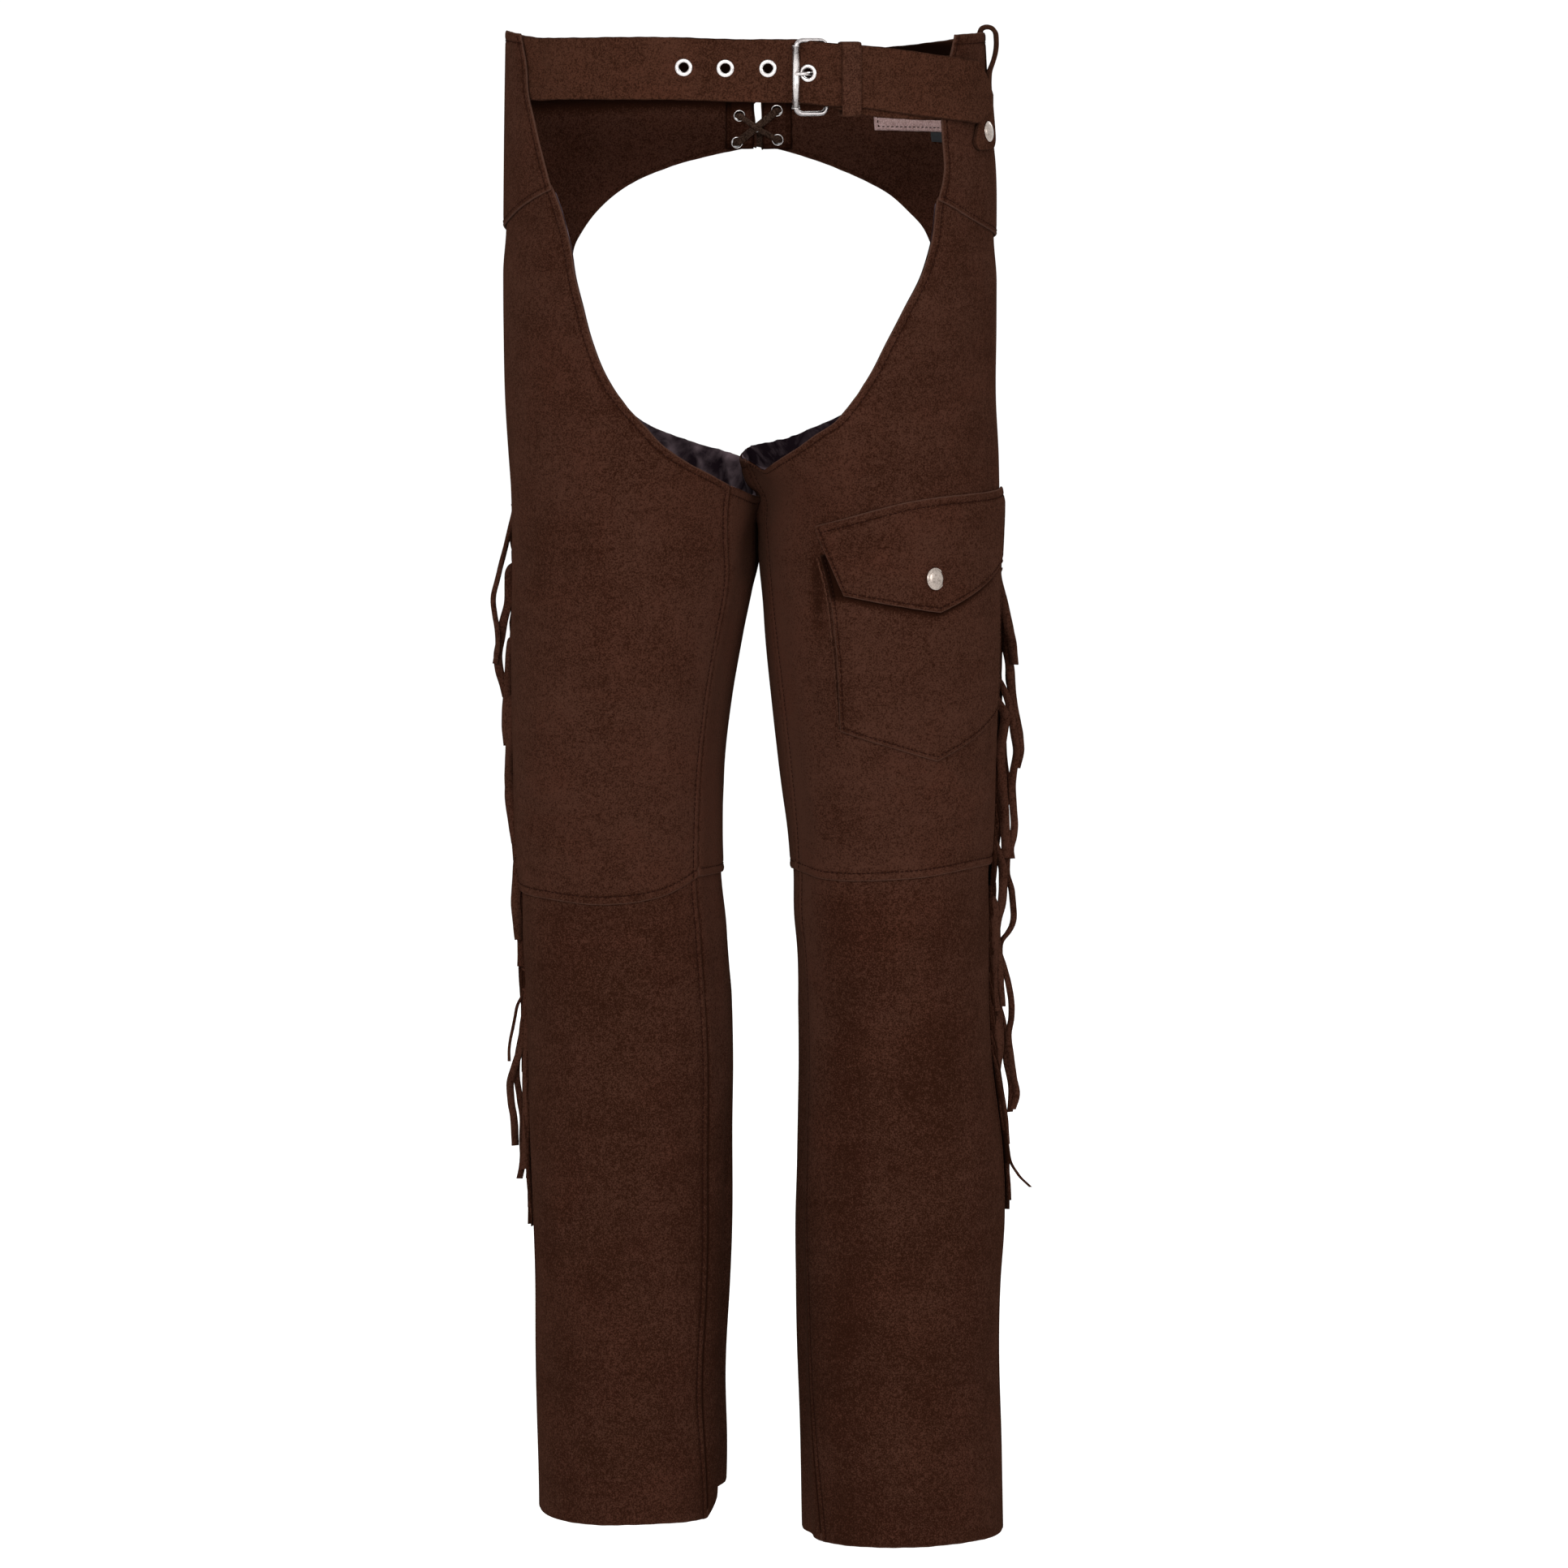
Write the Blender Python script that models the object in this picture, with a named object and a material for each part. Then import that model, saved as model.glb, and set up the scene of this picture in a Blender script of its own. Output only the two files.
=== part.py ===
"""Suede leather chaps, worn and hollow, with a buckled belt, a laced back and fringed side seams.

Metres, +Z up. The chaps face -Y, the origin is the middle of the waist at the height of the belt's
top edge. Right and left are the wearer's, so the right leg is at -X.
"""

import math

import bmesh
import bpy
import numpy as np

MM = 0.001
SUEDE = 1.6 * MM  # one layer
SATIN = 1.0 * MM
GAP = 0.3 * MM  # between pieces that are sewn together
OVER = 0.6 * MM  # between a lap and the panel under it, which allows for the flat facets
STITCHED = 0.8 * MM  # between a panel and a pocket or a strip on it
SEAM_HALF = 0.22  # degrees of a leg's ring left free on each side of an upright seam
RIGHT, LEFT = -1, 1

# The two legs' rings, in millimetres from the middle of the waist. Outer and inner are the two
# sides of a ring, front and back its reach each way. Near the waist both legs share one ring.
RING_ROWS = (
    # height, right outer, right inner, left inner, left outer, front, back
    (0, -167, 161, -167, 161, 112, 106),
    (-55, -168, 164.5, -168, 164.5, 113, 111),
    (-90, -168.5, 168.5, -168.5, 168.5, 113, 117),
    (-140, -169, 150, -150, 169.3, 112, 124),
    (-200, -169, 90, -85, 169.3, 108, 126),
    (-250, -168, 45, -38, 169, 103, 120),
    (-290, -165.5, 17, -5, 171, 99, 111),
    (-312, -164, 8, 9.8, 171.5, 97, 106),
    (-337, -163.5, 4.2, 8, 172, 95, 102),
    (-370, -163.5, 3.5, 8, 172, 94, 99),
    (-413, -164.3, -4.4, 10.1, 171.6, 92, 96),
    (-458, -164.5, -12.3, 14.5, 170.6, 89, 92),
    (-503, -163.5, -17.4, 19.6, 169.6, 86, 88),
    (-548, -162.5, -17.8, 25.2, 168.5, 82, 85),
    (-593, -159.3, -16.4, 28, 165, 79, 82),
    (-638, -156.6, -14.2, 31.4, 164.3, 76, 82),
    (-707, -153.5, -11.6, 33.6, 167.3, 73, 84),
    (-775, -152, -12.0, 31.9, 174.5, 72, 86),
    (-820, -151, -12.6, 30.8, 176, 72, 87),
    (-866, -149.4, -13.8, 31.9, 174, 73, 87),
    (-934, -148.5, -16.5, 33.1, 173, 76, 87),
    (-980, -148.1, -16.2, 34.2, 174.2, 79, 87),
    (-1042, -147, -18.5, 36.5, 176.6, 83, 87),
)
SQUARENESS = 0.035  # how far a ring's corners stand out, as a share of its size

# Soft troughs and ridges of the worn suede: depth in millimetres, positive inwards.
FOLD_ROWS = (
    # side, angle, half width in degrees, top, bottom, depth
    (RIGHT, 282, 9, -760, -1100, 5.0),
    (RIGHT, 300, 8, -380, -700, 1.6),
    (RIGHT, 262, 10, -560, -620, 3.0),
    (RIGHT, 170, 26, -560, -590, 4.0),
    (RIGHT, 205, 24, -610, -640, 3.0),
    (LEFT, 288, 9, -640, -1100, 3.6),
    (LEFT, 306, 8, -400, -620, 1.8),
    (LEFT, 262, 10, -570, -630, 3.0),
    (LEFT, 185, 26, -555, -585, 4.0),
    (LEFT, 150, 24, -605, -635, 3.0),
)
FOLD_FADE = 45 * MM  # over which a fold runs out at its ends

# Places on a leg's ring are (angle in degrees, height in millimetres). The angle runs from the
# middle of the front (0) over the outer side (90) and the back (180) to the inside (270).
SIDE_SEAM = {
    RIGHT: ((97, -136), (99, -300), (105, -450), (103, -590), (94, -700), (86, -800), (84, -1022)),
    LEFT: ((97, -141), (98, -400), (92, -573), (88, -750), (88, -1038)),
}
INSEAM = {
    RIGHT: ((-46, -305), (-46, -400), (-47, -575), (-48, -800), (-48, -950), (-53, -1022)),
    LEFT: ((-76, -303), (-80, -400), (-82, -573), (-68, -760), (-62, -900), (-52, -1038)),
}
YOKE_SEAM_FRONT = {
    RIGHT: ((50.5, -104), (60, -113), (76, -127), (97, -136)),
    LEFT: ((47, -111), (64, -128), (80, -136), (97, -141)),
}
YOKE_SEAM_BACK = {
    RIGHT: ((97, -136), (117, -147), (137, -163)),
    LEFT: ((97, -141), (116, -150), (134, -162)),
}
FRONT_OPENING = {
    RIGHT: ((-46, -306), (-34, -298), (-20, -288), (-6, -274.5), (2.4, -263), (12, -249), (22.7, -227),
            (29.7, -205.5), (35, -183.5), (39.7, -162), (42.6, -142), (46.5, -120.5), (50.5, -104)),
    LEFT: ((-76, -303), (-66, -298), (-46.4, -290), (-31, -280), (-17, -268.5), (-7.4, -260.5), (1.3, -249),
           (13.6, -227), (22.7, -205), (31, -183.5), (38.7, -162), (43.6, -140), (47, -111)),
}
BACK_OPENING = {
    RIGHT: ((314, -306), (298, -313), (282, -317), (268, -316), (256, -311), (244, -304), (231, -298),
            (217, -294.5), (203, -290), (190.5, -284.5), (178.5, -277), (167, -264), (157, -246),
            (149, -223), (142, -194), (137, -163)),
    LEFT: ((284, -303), (274, -299), (262, -294), (246, -289), (230, -288), (214, -285), (203, -280),
           (194, -275.5), (180, -266), (168, -253), (157, -235), (147, -211), (139, -186), (134, -162)),
}
YOKE_FRONT_EDGE = {
    RIGHT: ((66.5, 0), (62.5, -20), (61, -40), (58.5, -55), (54.5, -80), (50.5, -104)),
    LEFT: ((58, 0), (54, -22), (51, -45), (50, -70), (49.5, -92), (47, -111)),
}
YOKE_TOP = {
    RIGHT: ((66.5, 0), (85, 1), (105, -2), (125, -7), (150, -15), (181.5, -20)),
    LEFT: ((58, 0), (80, 0), (105, -3), (125, -8), (150, -15), (176.7, -20)),
}
SEAT_ARCH = {
    RIGHT: ((137, -163), (137.4, -150), (139, -142), (143, -127.5), (151.7, -108.5), (162.8, -95.5),
            (173, -89), (181.5, -84)),
    LEFT: ((134, -162), (135.6, -150), (137.6, -138.5), (141.7, -127.5), (146.4, -116.5), (153.7, -105.5),
           (167.4, -91), (176.7, -83.5)),
}
KNEE_FRONT = {
    RIGHT: ((-47, -575), (-25, -586), (8, -592), (45, -590), (103, -590)),
    LEFT: ((-82, -573), (-40, -576), (10, -574), (50, -570), (92, -573)),
}
KNEE_BACK = {
    RIGHT: ((103, -590), (155, -588), (220, -580), (313, -575)),
    LEFT: ((92, -573), (150, -576), (220, -578), (278, -573)),
}
HEM_FRONT = {
    RIGHT: ((-53, -1022), (-20, -1021), (30, -1022), (84, -1022)),
    LEFT: ((-52, -1038), (-10, -1037), (40, -1036), (88, -1038)),
}
HEM_BACK = {
    RIGHT: ((84, -1022), (150, -1021), (220, -1012), (268, -1006), (292, -1011), (307, -1022)),
    LEFT: ((88, -1038), (150, -1038), (220, -1038), (308, -1038)),
}
KNEE_LAP = 9 * MM  # how far the upper panel covers the lower one
YOKE_LAP = 8 * MM  # how far the yoke covers the leg

# Belt. Out is measured from the yokes' outer face, and across from the middle of the waist.
STRAP_WIDTH = 42 * MM
STRAP = 2.8 * MM  # two layers
STRAP_ROWS = (
    # across, out of the inner face, height of the middle, share of the width
    (-158, -5.2, -23.6, 1),
    (-150, -5.2, -23.3, 1),
    (-143, -5.2, -23.2, 1),
    (-134, -3.0, -22.6, 1),
    (-105, -2.8, -21.7, 1),
    (-56, -2.8, -21.2, 1),
    (-7, -2.8, -22.4, 1),
    (18, -3.4, -22.8, 1),
    (31, -4.4, -23.0, 1),
    (39, -1.6, -23.6, 1),
    (46, 0.7, -24.3, 1),
    (53, 1.0, -25.2, 1),
    (62, 0.8, -25.8, 1),
    (80, 0.8, -27.3, 1),
    (105, 0.8, -31.0, 1),
    (122, 0.9, -33.8, 1),
    (136, 2.2, -36.2, 1),
    (146, 3.1, -38.4, 1),
    (151, 3.1, -39.5, 1),
    (157, 3.1, -43.0, 0.62),
    (161, 3.1, -46.5, 0.2),
)
BELT_EYELETS = ((-44, -20.4), (-16, -20.9), (12.7, -21.0), (39.4, -24.2), (68.4, -25.2))
BELT_EYELET = {"hole": 2.8 * MM, "barrel": 3.3 * MM, "flange": 5.7 * MM, "lip": 0.9 * MM, "sides": 10}

BILLET = 2.4 * MM  # two layers
BILLET_ROWS = (
    # across, out of the outer face, height of the middle, width
    (148, -2.3, -35.8, 43),
    (128, -2.3, -35.4, 43),
    (112, -0.1, -34.6, 43),
    (90, 0.0, -33.0, 43),
    (74, 0.0, -30.6, 43),
    (60, 0.0, -28.0, 41),
    (53, 0.0, -26.8, 39.4),
)
BILLET_RETURN = ((57, -6.0), (62, -4.4), (68, -3.0), (88, -3.0))  # across, out next to the front layer
BAR_ACROSS, BAR_OUT, BAR_RADIUS = 53 * MM, -4.4 * MM, 1.6 * MM
ROLLER_ACROSS, ROLLER_OUT = 31.2 * MM, 2.2 * MM
ROLLER_RADIUS, ROLLER_BORE, ROLLER_LENGTH = 2.8 * MM, 2.0 * MM, 42.4 * MM
BUCKLE_HEIGHT, BUCKLE_CORNER, BUCKLE_MIDDLE = 51 * MM, 5 * MM, -25.2 * MM
PRONG_RADIUS, PRONG_HEIGHT = 1.1 * MM, -24.6 * MM
PRONG_PATH = (  # across, out
    (49.2, -6.2), (46.0, -4.2), (42.6, -3.4), (40.4, -2.2), (39.5, 0.2), (38.9, 2.6), (37.0, 4.7),
    (34.0, 5.9), (30.6, 6.5),
)
KEEPER_ACROSS, KEEPER_WIDTH, KEEPER = 67.8 * MM, 12.4 * MM, 1.5 * MM
KEEPER_OUT, KEEPER_HEIGHT, KEEPER_ROUND = (-9.4, 6.6), (-53.6, -3.2), 3.0  # millimetres

# Centre back lacing: across and height of the right and left eyelet in each row.
LACE_ROWS = (
    ("top", (-6.6, -37.0), (18.0, -34.5)),
    ("middle", (-7.6, -61.3), (18.7, -57.7)),
    ("bottom", (-9.3, -80.0), (19.3, -78.0)),
)
LACE_EYELET = {"hole": 2.1 * MM, "barrel": 2.6 * MM, "flange": 4.0 * MM, "lip": 0.7 * MM, "sides": 8}
LACE_WIDTH, LACE = 5.0 * MM, 1.5 * MM
PATCH_ACROSS = {RIGHT: (-17, 2.2), LEFT: (8.8, 29)}
PATCH_TOP, PATCH_BOTTOM = -24, -86

LABEL_ANGLES, LABEL_HEIGHTS = (127, 149), (-71, -42)
TAB_ANGLES, TAB_HEIGHTS = (128, 132.5), (-78, -71.8)
LABEL = 1.0 * MM

# Thigh pocket of the left leg, as places on its ring.
POCKET = {
    "left": ((-23, -472), (-22.6, -415), (-26, -370), (-29.3, -352)),
    "right": ((74, -463), (76, -400), (80, -336)),
    "bottom": ((-23, -472), (25.6, -493), (74, -463)),
    "top": ((-29.3, -352), (11, -341), (80, -336)),
}
FLAP = {
    "left": ((-17.6, -378.5), (-24.5, -356), (-32, -332)),
    "right": ((71, -361), (78, -336), (83.5, -311)),
    "bottom": ((-17.6, -378.5), (25.7, -390), (71, -361)),
    "top": ((-32, -332), (11, -315), (83.5, -311)),
}
POCKET_MIDDLE, POCKET_REACH = (25.6, -411), (54, 66)  # degrees and millimetres
POCKET_TILT = 0.15  # millimetres of height for each degree
POCKET_PUFF = 3.0 * MM  # how far the middle of the pocket stands out
POCKET_SNAP, HIP_SNAP = (25.2, -367.4, 7.7), (75.5, -67, 6.7)  # angle, height, radius
SNAP_DOME = 2.2 * MM

# Loop strap over the left hip: the middle of its thickness, from the inside of the yoke over the
# top and down to its snap, and the middle of its width.
LOOP_ROWS = (
    # out, height, angle
    (-3.0, -16, 90), (-3.0, 0.2, 90), (-1.6, 2.4, 90), (1.4, 3.9, 90), (4.8, 3.8, 90), (7.2, 1.2, 90),
    (8.0, -7, 90), (7.7, -16, 90), (6.0, -25, 89.5), (3.5, -32, 88.5), (1.5, -38.5, 87), (1.5, -56, 81),
    (1.5, -80, 75),
)
LOOP_HALF_WIDTH = 6.8  # degrees

# Fringe: a narrow strip along each side seam, with strands that hang in three lanes.
FRINGE = {RIGHT: (-336, -716, 31), LEFT: (-370, -696, 26)}  # top, bottom, number of strands
STRIP_WIDTH, STRIP = 4.6 * MM, 1.6 * MM
STRAND_ROOT, STRAND = 1.5 * MM, 1.2 * MM  # height of a root, thickness of a strand
STRAND_LENGTH = 100 * MM
STRAND_SLOPE = {  # height of the root, way out for each millimetre down
    RIGHT: ((-704, 0.10), (-610, 0.055), (-480, 0.045), (-336, 0.085)),
    LEFT: ((-676, 0.10), (-560, 0.10), (-450, 0.13), (-370, 0.115)),
}
LANE_WIDTH = 6.5 * MM


# ---------------------------------------------------------------- shapes that the pieces share


def smooth(x, knots, values):
    """A value at x on a smooth curve through rising knots, level past its ends."""
    knots, values = np.asarray(knots, float), np.asarray(values, float)
    slopes = np.gradient(values, knots)
    i = np.clip(np.searchsorted(knots, x) - 1, 0, len(knots) - 2)
    span = knots[i + 1] - knots[i]
    t = np.clip((x - knots[i]) / span, 0, 1)
    return (
        (1 + 2 * t) * (1 - t) ** 2 * values[i]
        + t * (1 - t) ** 2 * span * slopes[i]
        + t * t * (3 - 2 * t) * values[i + 1]
        + t * t * (t - 1) * span * slopes[i + 1]
    )


def ramp(x, start, end):
    """0 at start, 1 at end, with soft ends."""
    t = np.clip((x - start) / (end - start), 0, 1)
    return t * t * (3 - 2 * t)


RINGS = np.array(RING_ROWS, float)[::-1] * MM


def fold_depth(side, angle, height):
    """How far the folds push the cloth inwards at a place."""
    depth = np.zeros(np.broadcast(angle, height).shape)
    for fold_side, centre, width, top, bottom, deep in FOLD_ROWS:
        if fold_side != side:
            continue
        turn = (angle - centre + 180) % 360 - 180
        along = ramp(height, bottom * MM - FOLD_FADE, bottom * MM) * ramp(
            height, top * MM + FOLD_FADE, top * MM
        )
        depth += deep * MM * np.exp(-((turn / width) ** 2)) * along
    return depth


def ring(side, angle, height):
    """Points of a leg's surface; angle in degrees, height in metres, both arrays or numbers."""
    column = (1, 2) if side == RIGHT else (4, 3)
    outer, inner, front, back = (
        smooth(height, RINGS[:, 0], RINGS[:, c]) for c in (*column, 5, 6)
    )
    turn = np.radians(angle)
    size = 1 + SQUARENESS * np.sin(2 * turn) ** 2
    reach = np.where(np.cos(turn) > 0, front, back)
    x = (outer + inner) / 2 + (outer - inner) / 2 * np.sin(turn) * size
    y = -reach * np.cos(turn) * size
    return np.stack(np.broadcast_arrays(x, y, height), axis=-1)


def surface(side, angle, height, out=0.0):
    """Points of a leg's surface moved out along its normal."""
    angle, height = np.asarray(angle, float), np.asarray(height, float)
    along = ring(side, angle + 0.2, height) - ring(side, angle - 0.2, height)
    up = ring(side, angle, height + MM) - ring(side, angle, height - MM)
    normal = side * np.cross(along, up)
    normal /= np.linalg.norm(normal, axis=-1, keepdims=True)
    out = np.asarray(out) - fold_depth(side, angle, height)
    return ring(side, angle, height) + normal * out[..., None]


def run(places, count, straight=False):
    """Evenly spaced places along a line through (angle, height in mm) places; height in metres."""
    places = np.array(places, float) * (1, MM)
    steps = np.diff(places, axis=0) * (1.5 * MM, 1)  # a degree is about 1.5 mm of cloth
    length = np.concatenate([[0], np.cumsum(np.hypot(*steps.T))])
    at = np.linspace(0, length[-1], count)
    follow = np.interp if straight or len(places) < 3 else smooth
    return np.stack([follow(at, length, places[:, 0]), follow(at, length, places[:, 1])], -1)


def patch(left, right, bottom, top):
    """Rows of places that fill four edges."""
    v = ((left[:, 1] - left[0, 1]) / (left[-1, 1] - left[0, 1]))[:, None, None]
    u = np.linspace(0, 1, len(bottom))[None, :, None]
    across = (1 - u) * left[:, None] + u * right[:, None]
    along = (1 - v) * bottom[None] + v * top[None]
    low = (1 - u) * left[0] + u * right[0]
    high = (1 - u) * left[-1] + u * right[-1]
    return across + along - (1 - v) * low - v * high


def material(name, colour, roughness, metallic=0.0):
    made = bpy.data.materials.new(name)
    made.use_nodes = True
    shader = made.node_tree.nodes["Principled BSDF"]
    shader.inputs["Base Color"].default_value = (*colour, 1)
    shader.inputs["Roughness"].default_value = roughness
    shader.inputs["Metallic"].default_value = metallic
    return made


def add(name, points, faces, finish):
    """A mesh object in the scene, with its normals outwards."""
    mesh = bpy.data.meshes.new(name)
    mesh.from_pydata([tuple(p) for p in points], [], faces)
    mesh.materials.append(finish)
    work = bmesh.new()
    work.from_mesh(mesh)
    bmesh.ops.recalc_face_normals(work, faces=work.faces)
    work.to_mesh(mesh)
    work.free()
    mesh.shade_smooth()
    mesh.set_sharp_from_angle(angle=math.radians(35))
    made = bpy.data.objects.new(name, mesh)
    bpy.context.collection.objects.link(made)
    return made


def slab(name, front, back, finish):
    """A closed sheet between two equal grids of points."""
    rows, columns = front.shape[:2]
    points = np.concatenate([front.reshape(-1, 3), back.reshape(-1, 3)])
    there = rows * columns
    faces = []
    for r in range(rows - 1):
        for c in range(columns - 1):
            a = r * columns + c
            # The same diagonal on both faces and on every sheet keeps sheets that lie together apart.
            for half in ((a, a + 1, a + columns + 1), (a, a + columns + 1, a + columns)):
                faces += [half, tuple(there + i for i in reversed(half))]
    rim = [(0, c) for c in range(columns)] + [(r, columns - 1) for r in range(1, rows)]
    rim += [(rows - 1, c) for c in range(columns - 2, -1, -1)] + [(r, 0) for r in range(rows - 2, 0, -1)]
    rim = [r * columns + c for r, c in rim]
    faces += [(b, a, there + a, there + b) for a, b in zip(rim, rim[1:] + rim[:1])]
    return add(name, points, faces, finish)


def wall(name, side, places, finish, out=0.0, thick=SUEDE):
    """A sheet of cloth at rows of places, its outer face moved out."""
    angle, height = places[..., 0], places[..., 1]
    out = np.broadcast_to(out, angle.shape)
    outer = surface(side, angle, height, out)
    return slab(name, outer, surface(side, angle, height, out - thick), finish)


def skin(name, loops, finish, closed=False):
    """A solid through equal loops of points; closed joins the last loop to the first."""
    count, sides = len(loops), len(loops[0])
    faces = []
    for r in range(count if closed else count - 1):
        for s in range(sides):
            a, b = r * sides, (r + 1) % count * sides
            n = (s + 1) % sides
            faces.append((a + s, a + n, b + n, b + s))
    if not closed:
        faces += [tuple(range(sides))[::-1], tuple(range((count - 1) * sides, count * sides))]
    return add(name, [point for loop in loops for point in loop], faces, finish)


def tube(name, path, sides, radius, finish, closed=False, across=(0, 0, 1)):
    """A round rod along a path of points; the first side points along across."""
    path = np.asarray(path, float)
    if closed:
        tangents = np.roll(path, -1, 0) - np.roll(path, 1, 0)
    else:
        tangents = np.gradient(path, axis=0)
    turn = np.linspace(0, 2 * math.pi, sides, endpoint=False)
    loops = []
    for point, tangent in zip(path, tangents):
        tangent = tangent / np.linalg.norm(tangent)
        first = np.asarray(across, float) - tangent * np.dot(across, tangent)
        first /= np.linalg.norm(first)
        second = np.cross(tangent, first)
        loops.append(
            [point + radius * (math.cos(t) * first + math.sin(t) * second) for t in turn]
        )
    return skin(name, loops, finish, closed)


def rounded(low, high, radius, steps):
    """Places round a rectangle with rounded corners."""
    places = []
    for right, up, start in ((1, 1, 0), (0, 1, 90), (0, 0, 180), (1, 0, 270)):
        x = high[0] - radius if right else low[0] + radius
        y = high[1] - radius if up else low[1] + radius
        for t in np.radians(np.linspace(start, start + 90, steps)):
            places.append((x + radius * math.cos(t), y + radius * math.sin(t)))
    return places


def turned(name, profile, sides, origin, axis, finish, closed=False):
    """A turned piece: profile rows are (radius, along the axis); radius 0 closes an end."""
    axis = np.asarray(axis, float) / np.linalg.norm(axis)
    first = np.cross(axis, (0, 0, 1.0))
    first /= np.linalg.norm(first)
    second = np.cross(axis, first)
    points, rings, faces = [], [], []
    for radius, along in profile:
        centre = np.asarray(origin) + axis * along
        if radius == 0:
            rings.append([len(points)] * sides)
            points.append(centre)
            continue
        rings.append(list(range(len(points), len(points) + sides)))
        for s in range(sides):
            t = 2 * math.pi * s / sides
            points.append(centre + radius * (math.cos(t) * first + math.sin(t) * second))
    pairs = list(zip(rings, rings[1:] + rings[:1])) if closed else list(zip(rings, rings[1:]))
    for low, high in pairs:
        for s in range(sides):
            n = (s + 1) % sides
            face = dict.fromkeys((low[s], low[n], high[n], high[s]))
            faces.append(tuple(face))
    return add(name, points, faces, finish)


def place_at(side, across, height, behind=False):
    """The angle of the ring's point that lies a given way across, in front or behind."""
    tries = np.linspace(92, 265, 347) if behind else np.linspace(-88, 89, 355)
    places = ring(side, tries, np.full(len(tries), height))[:, 0]
    order = np.argsort(places)
    return np.interp(across, places[order], tries[order])


def cut(target, cutters):
    """Cuts shapes out of an object; the shapes stay as hidden guides."""
    for cutter in cutters:
        cutter.hide_render = True
        cutter.display_type = "WIRE"
        hole = target.modifiers.new(cutter.name, "BOOLEAN")
        hole.operation = "DIFFERENCE"
        hole.object = cutter


# ---------------------------------------------------------------- finishes

for old in list(bpy.data.objects):
    bpy.data.objects.remove(old)

suede = material("suede", (0.055, 0.022, 0.013), 0.95)
suede_trim = material("suede_trim", (0.045, 0.019, 0.012), 0.95)
satin = material("satin", (0.035, 0.022, 0.032), 0.4)
nickel = material("nickel", (0.72, 0.70, 0.67), 0.3, 1.0)
label_leather = material("label_leather", (0.42, 0.24, 0.20), 0.8)
tab_cloth = material("tab_cloth", (0.01, 0.01, 0.012), 0.8)


# ---------------------------------------------------------------- legs

NAMES = {RIGHT: "right", LEFT: "left"}
FRONT_COLUMNS, BACK_COLUMNS = 12, 17
INSEAM_ROWS, OPENING_ROWS, SHIN_ROWS = 8, 9, 10
YOKE_COLUMNS = 5  # of a back panel, the ones that end under the yoke
TUCK = -(SUEDE + OVER)  # out of a sheet that lies under its neighbour's lap
KNEE_STEP = 12  # millimetres from a thigh panel's lower edge to its next row
LAP_START = 10  # millimetres below its top edge where a panel starts to dip under the yoke
LINING_START = 4  # the panel's row at which its lining begins
LINING_OUT = -(SUEDE + 0.8 * MM)


def upright(seam, low, high, count, move, step=0):
    """Places up a seam between two heights in millimetres, moved by some degrees.

    A step sets how far above the first place the second one lies.
    """
    seam = np.array(sorted(seam, key=lambda place: place[1]), float)
    heights = np.linspace(low, high, count)
    if step:
        heights[1:] = np.linspace(low + step, high, count - 1)
    return np.stack([smooth(heights, seam[:, 1], seam[:, 0]) + move, heights * MM], -1)


def inseam(side, front):
    """The inseam as the front panel reaches it, or a full turn on for the back panel."""
    return [(angle + (0 if front else 360), height) for angle, height in INSEAM[side]]


def thigh_panel(side, front):
    """Places and way out of a thigh panel, from the knee seam up to under the yoke.

    The opening is part of the front panel's inner edge, but of the back panel's top edge.
    """
    opening = (FRONT_OPENING if front else BACK_OPENING)[side]
    knee = (KNEE_FRONT if front else KNEE_BACK)[side]
    yoke_seam = (YOKE_SEAM_FRONT if front else YOKE_SEAM_BACK)[side]
    knee_inner, knee_outer = KNEE_FRONT[side][0][1], KNEE_FRONT[side][-1][1]
    move = SEAM_HALF if front else -SEAM_HALF
    inner = upright(
        inseam(side, front), knee_inner, opening[0][1] - LAP_START, INSEAM_ROWS, move, KNEE_STEP
    )
    if front:
        open_part = run(opening, OPENING_ROWS)
        open_part[0, 0] += SEAM_HALF
        (low, _), (high, high_height) = opening[-2:]
        open_part[-1] = (low + high) / 2, (high_height - LAP_START) * MM
        inner = np.concatenate([inner, open_part])
        edge = run(yoke_seam, FRONT_COLUMNS)
        covered = FRONT_COLUMNS
    else:
        open_part = run(opening[::-1], BACK_COLUMNS - YOKE_COLUMNS + 1)
        edge = np.concatenate([run(yoke_seam, YOKE_COLUMNS), open_part[1:]])
        covered = YOKE_COLUMNS
    outer = upright(
        SIDE_SEAM[side], knee_outer, SIDE_SEAM[side][0][1] - LAP_START, len(inner), -move, KNEE_STEP
    )
    first, last = (inner, outer) if front else (outer, inner)
    bottom, top = run(knee, len(edge)), edge - (0, LAP_START * MM)
    for line, row in ((bottom, 0), (top, -1)):
        line[0], line[-1] = first[row], last[row]
    edge[:, 0] = top[:, 0]
    edge[0, 0] += 1.1 if front else 0
    at_edge, under = edge.copy(), edge.copy()
    at_edge[:, 1] -= 4 * MM
    at_edge[:covered, 1] += 2 * MM
    under[:covered, 1] += YOKE_LAP
    middle = under[:covered, 0].mean()
    under[:covered, 0] = middle + (under[:covered, 0] - middle) * 0.88
    places = np.concatenate([patch(first, last, bottom, top), [at_edge, under]])
    out = np.zeros(places.shape[:2])
    out[-2:, :covered] = TUCK
    return places, out


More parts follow.
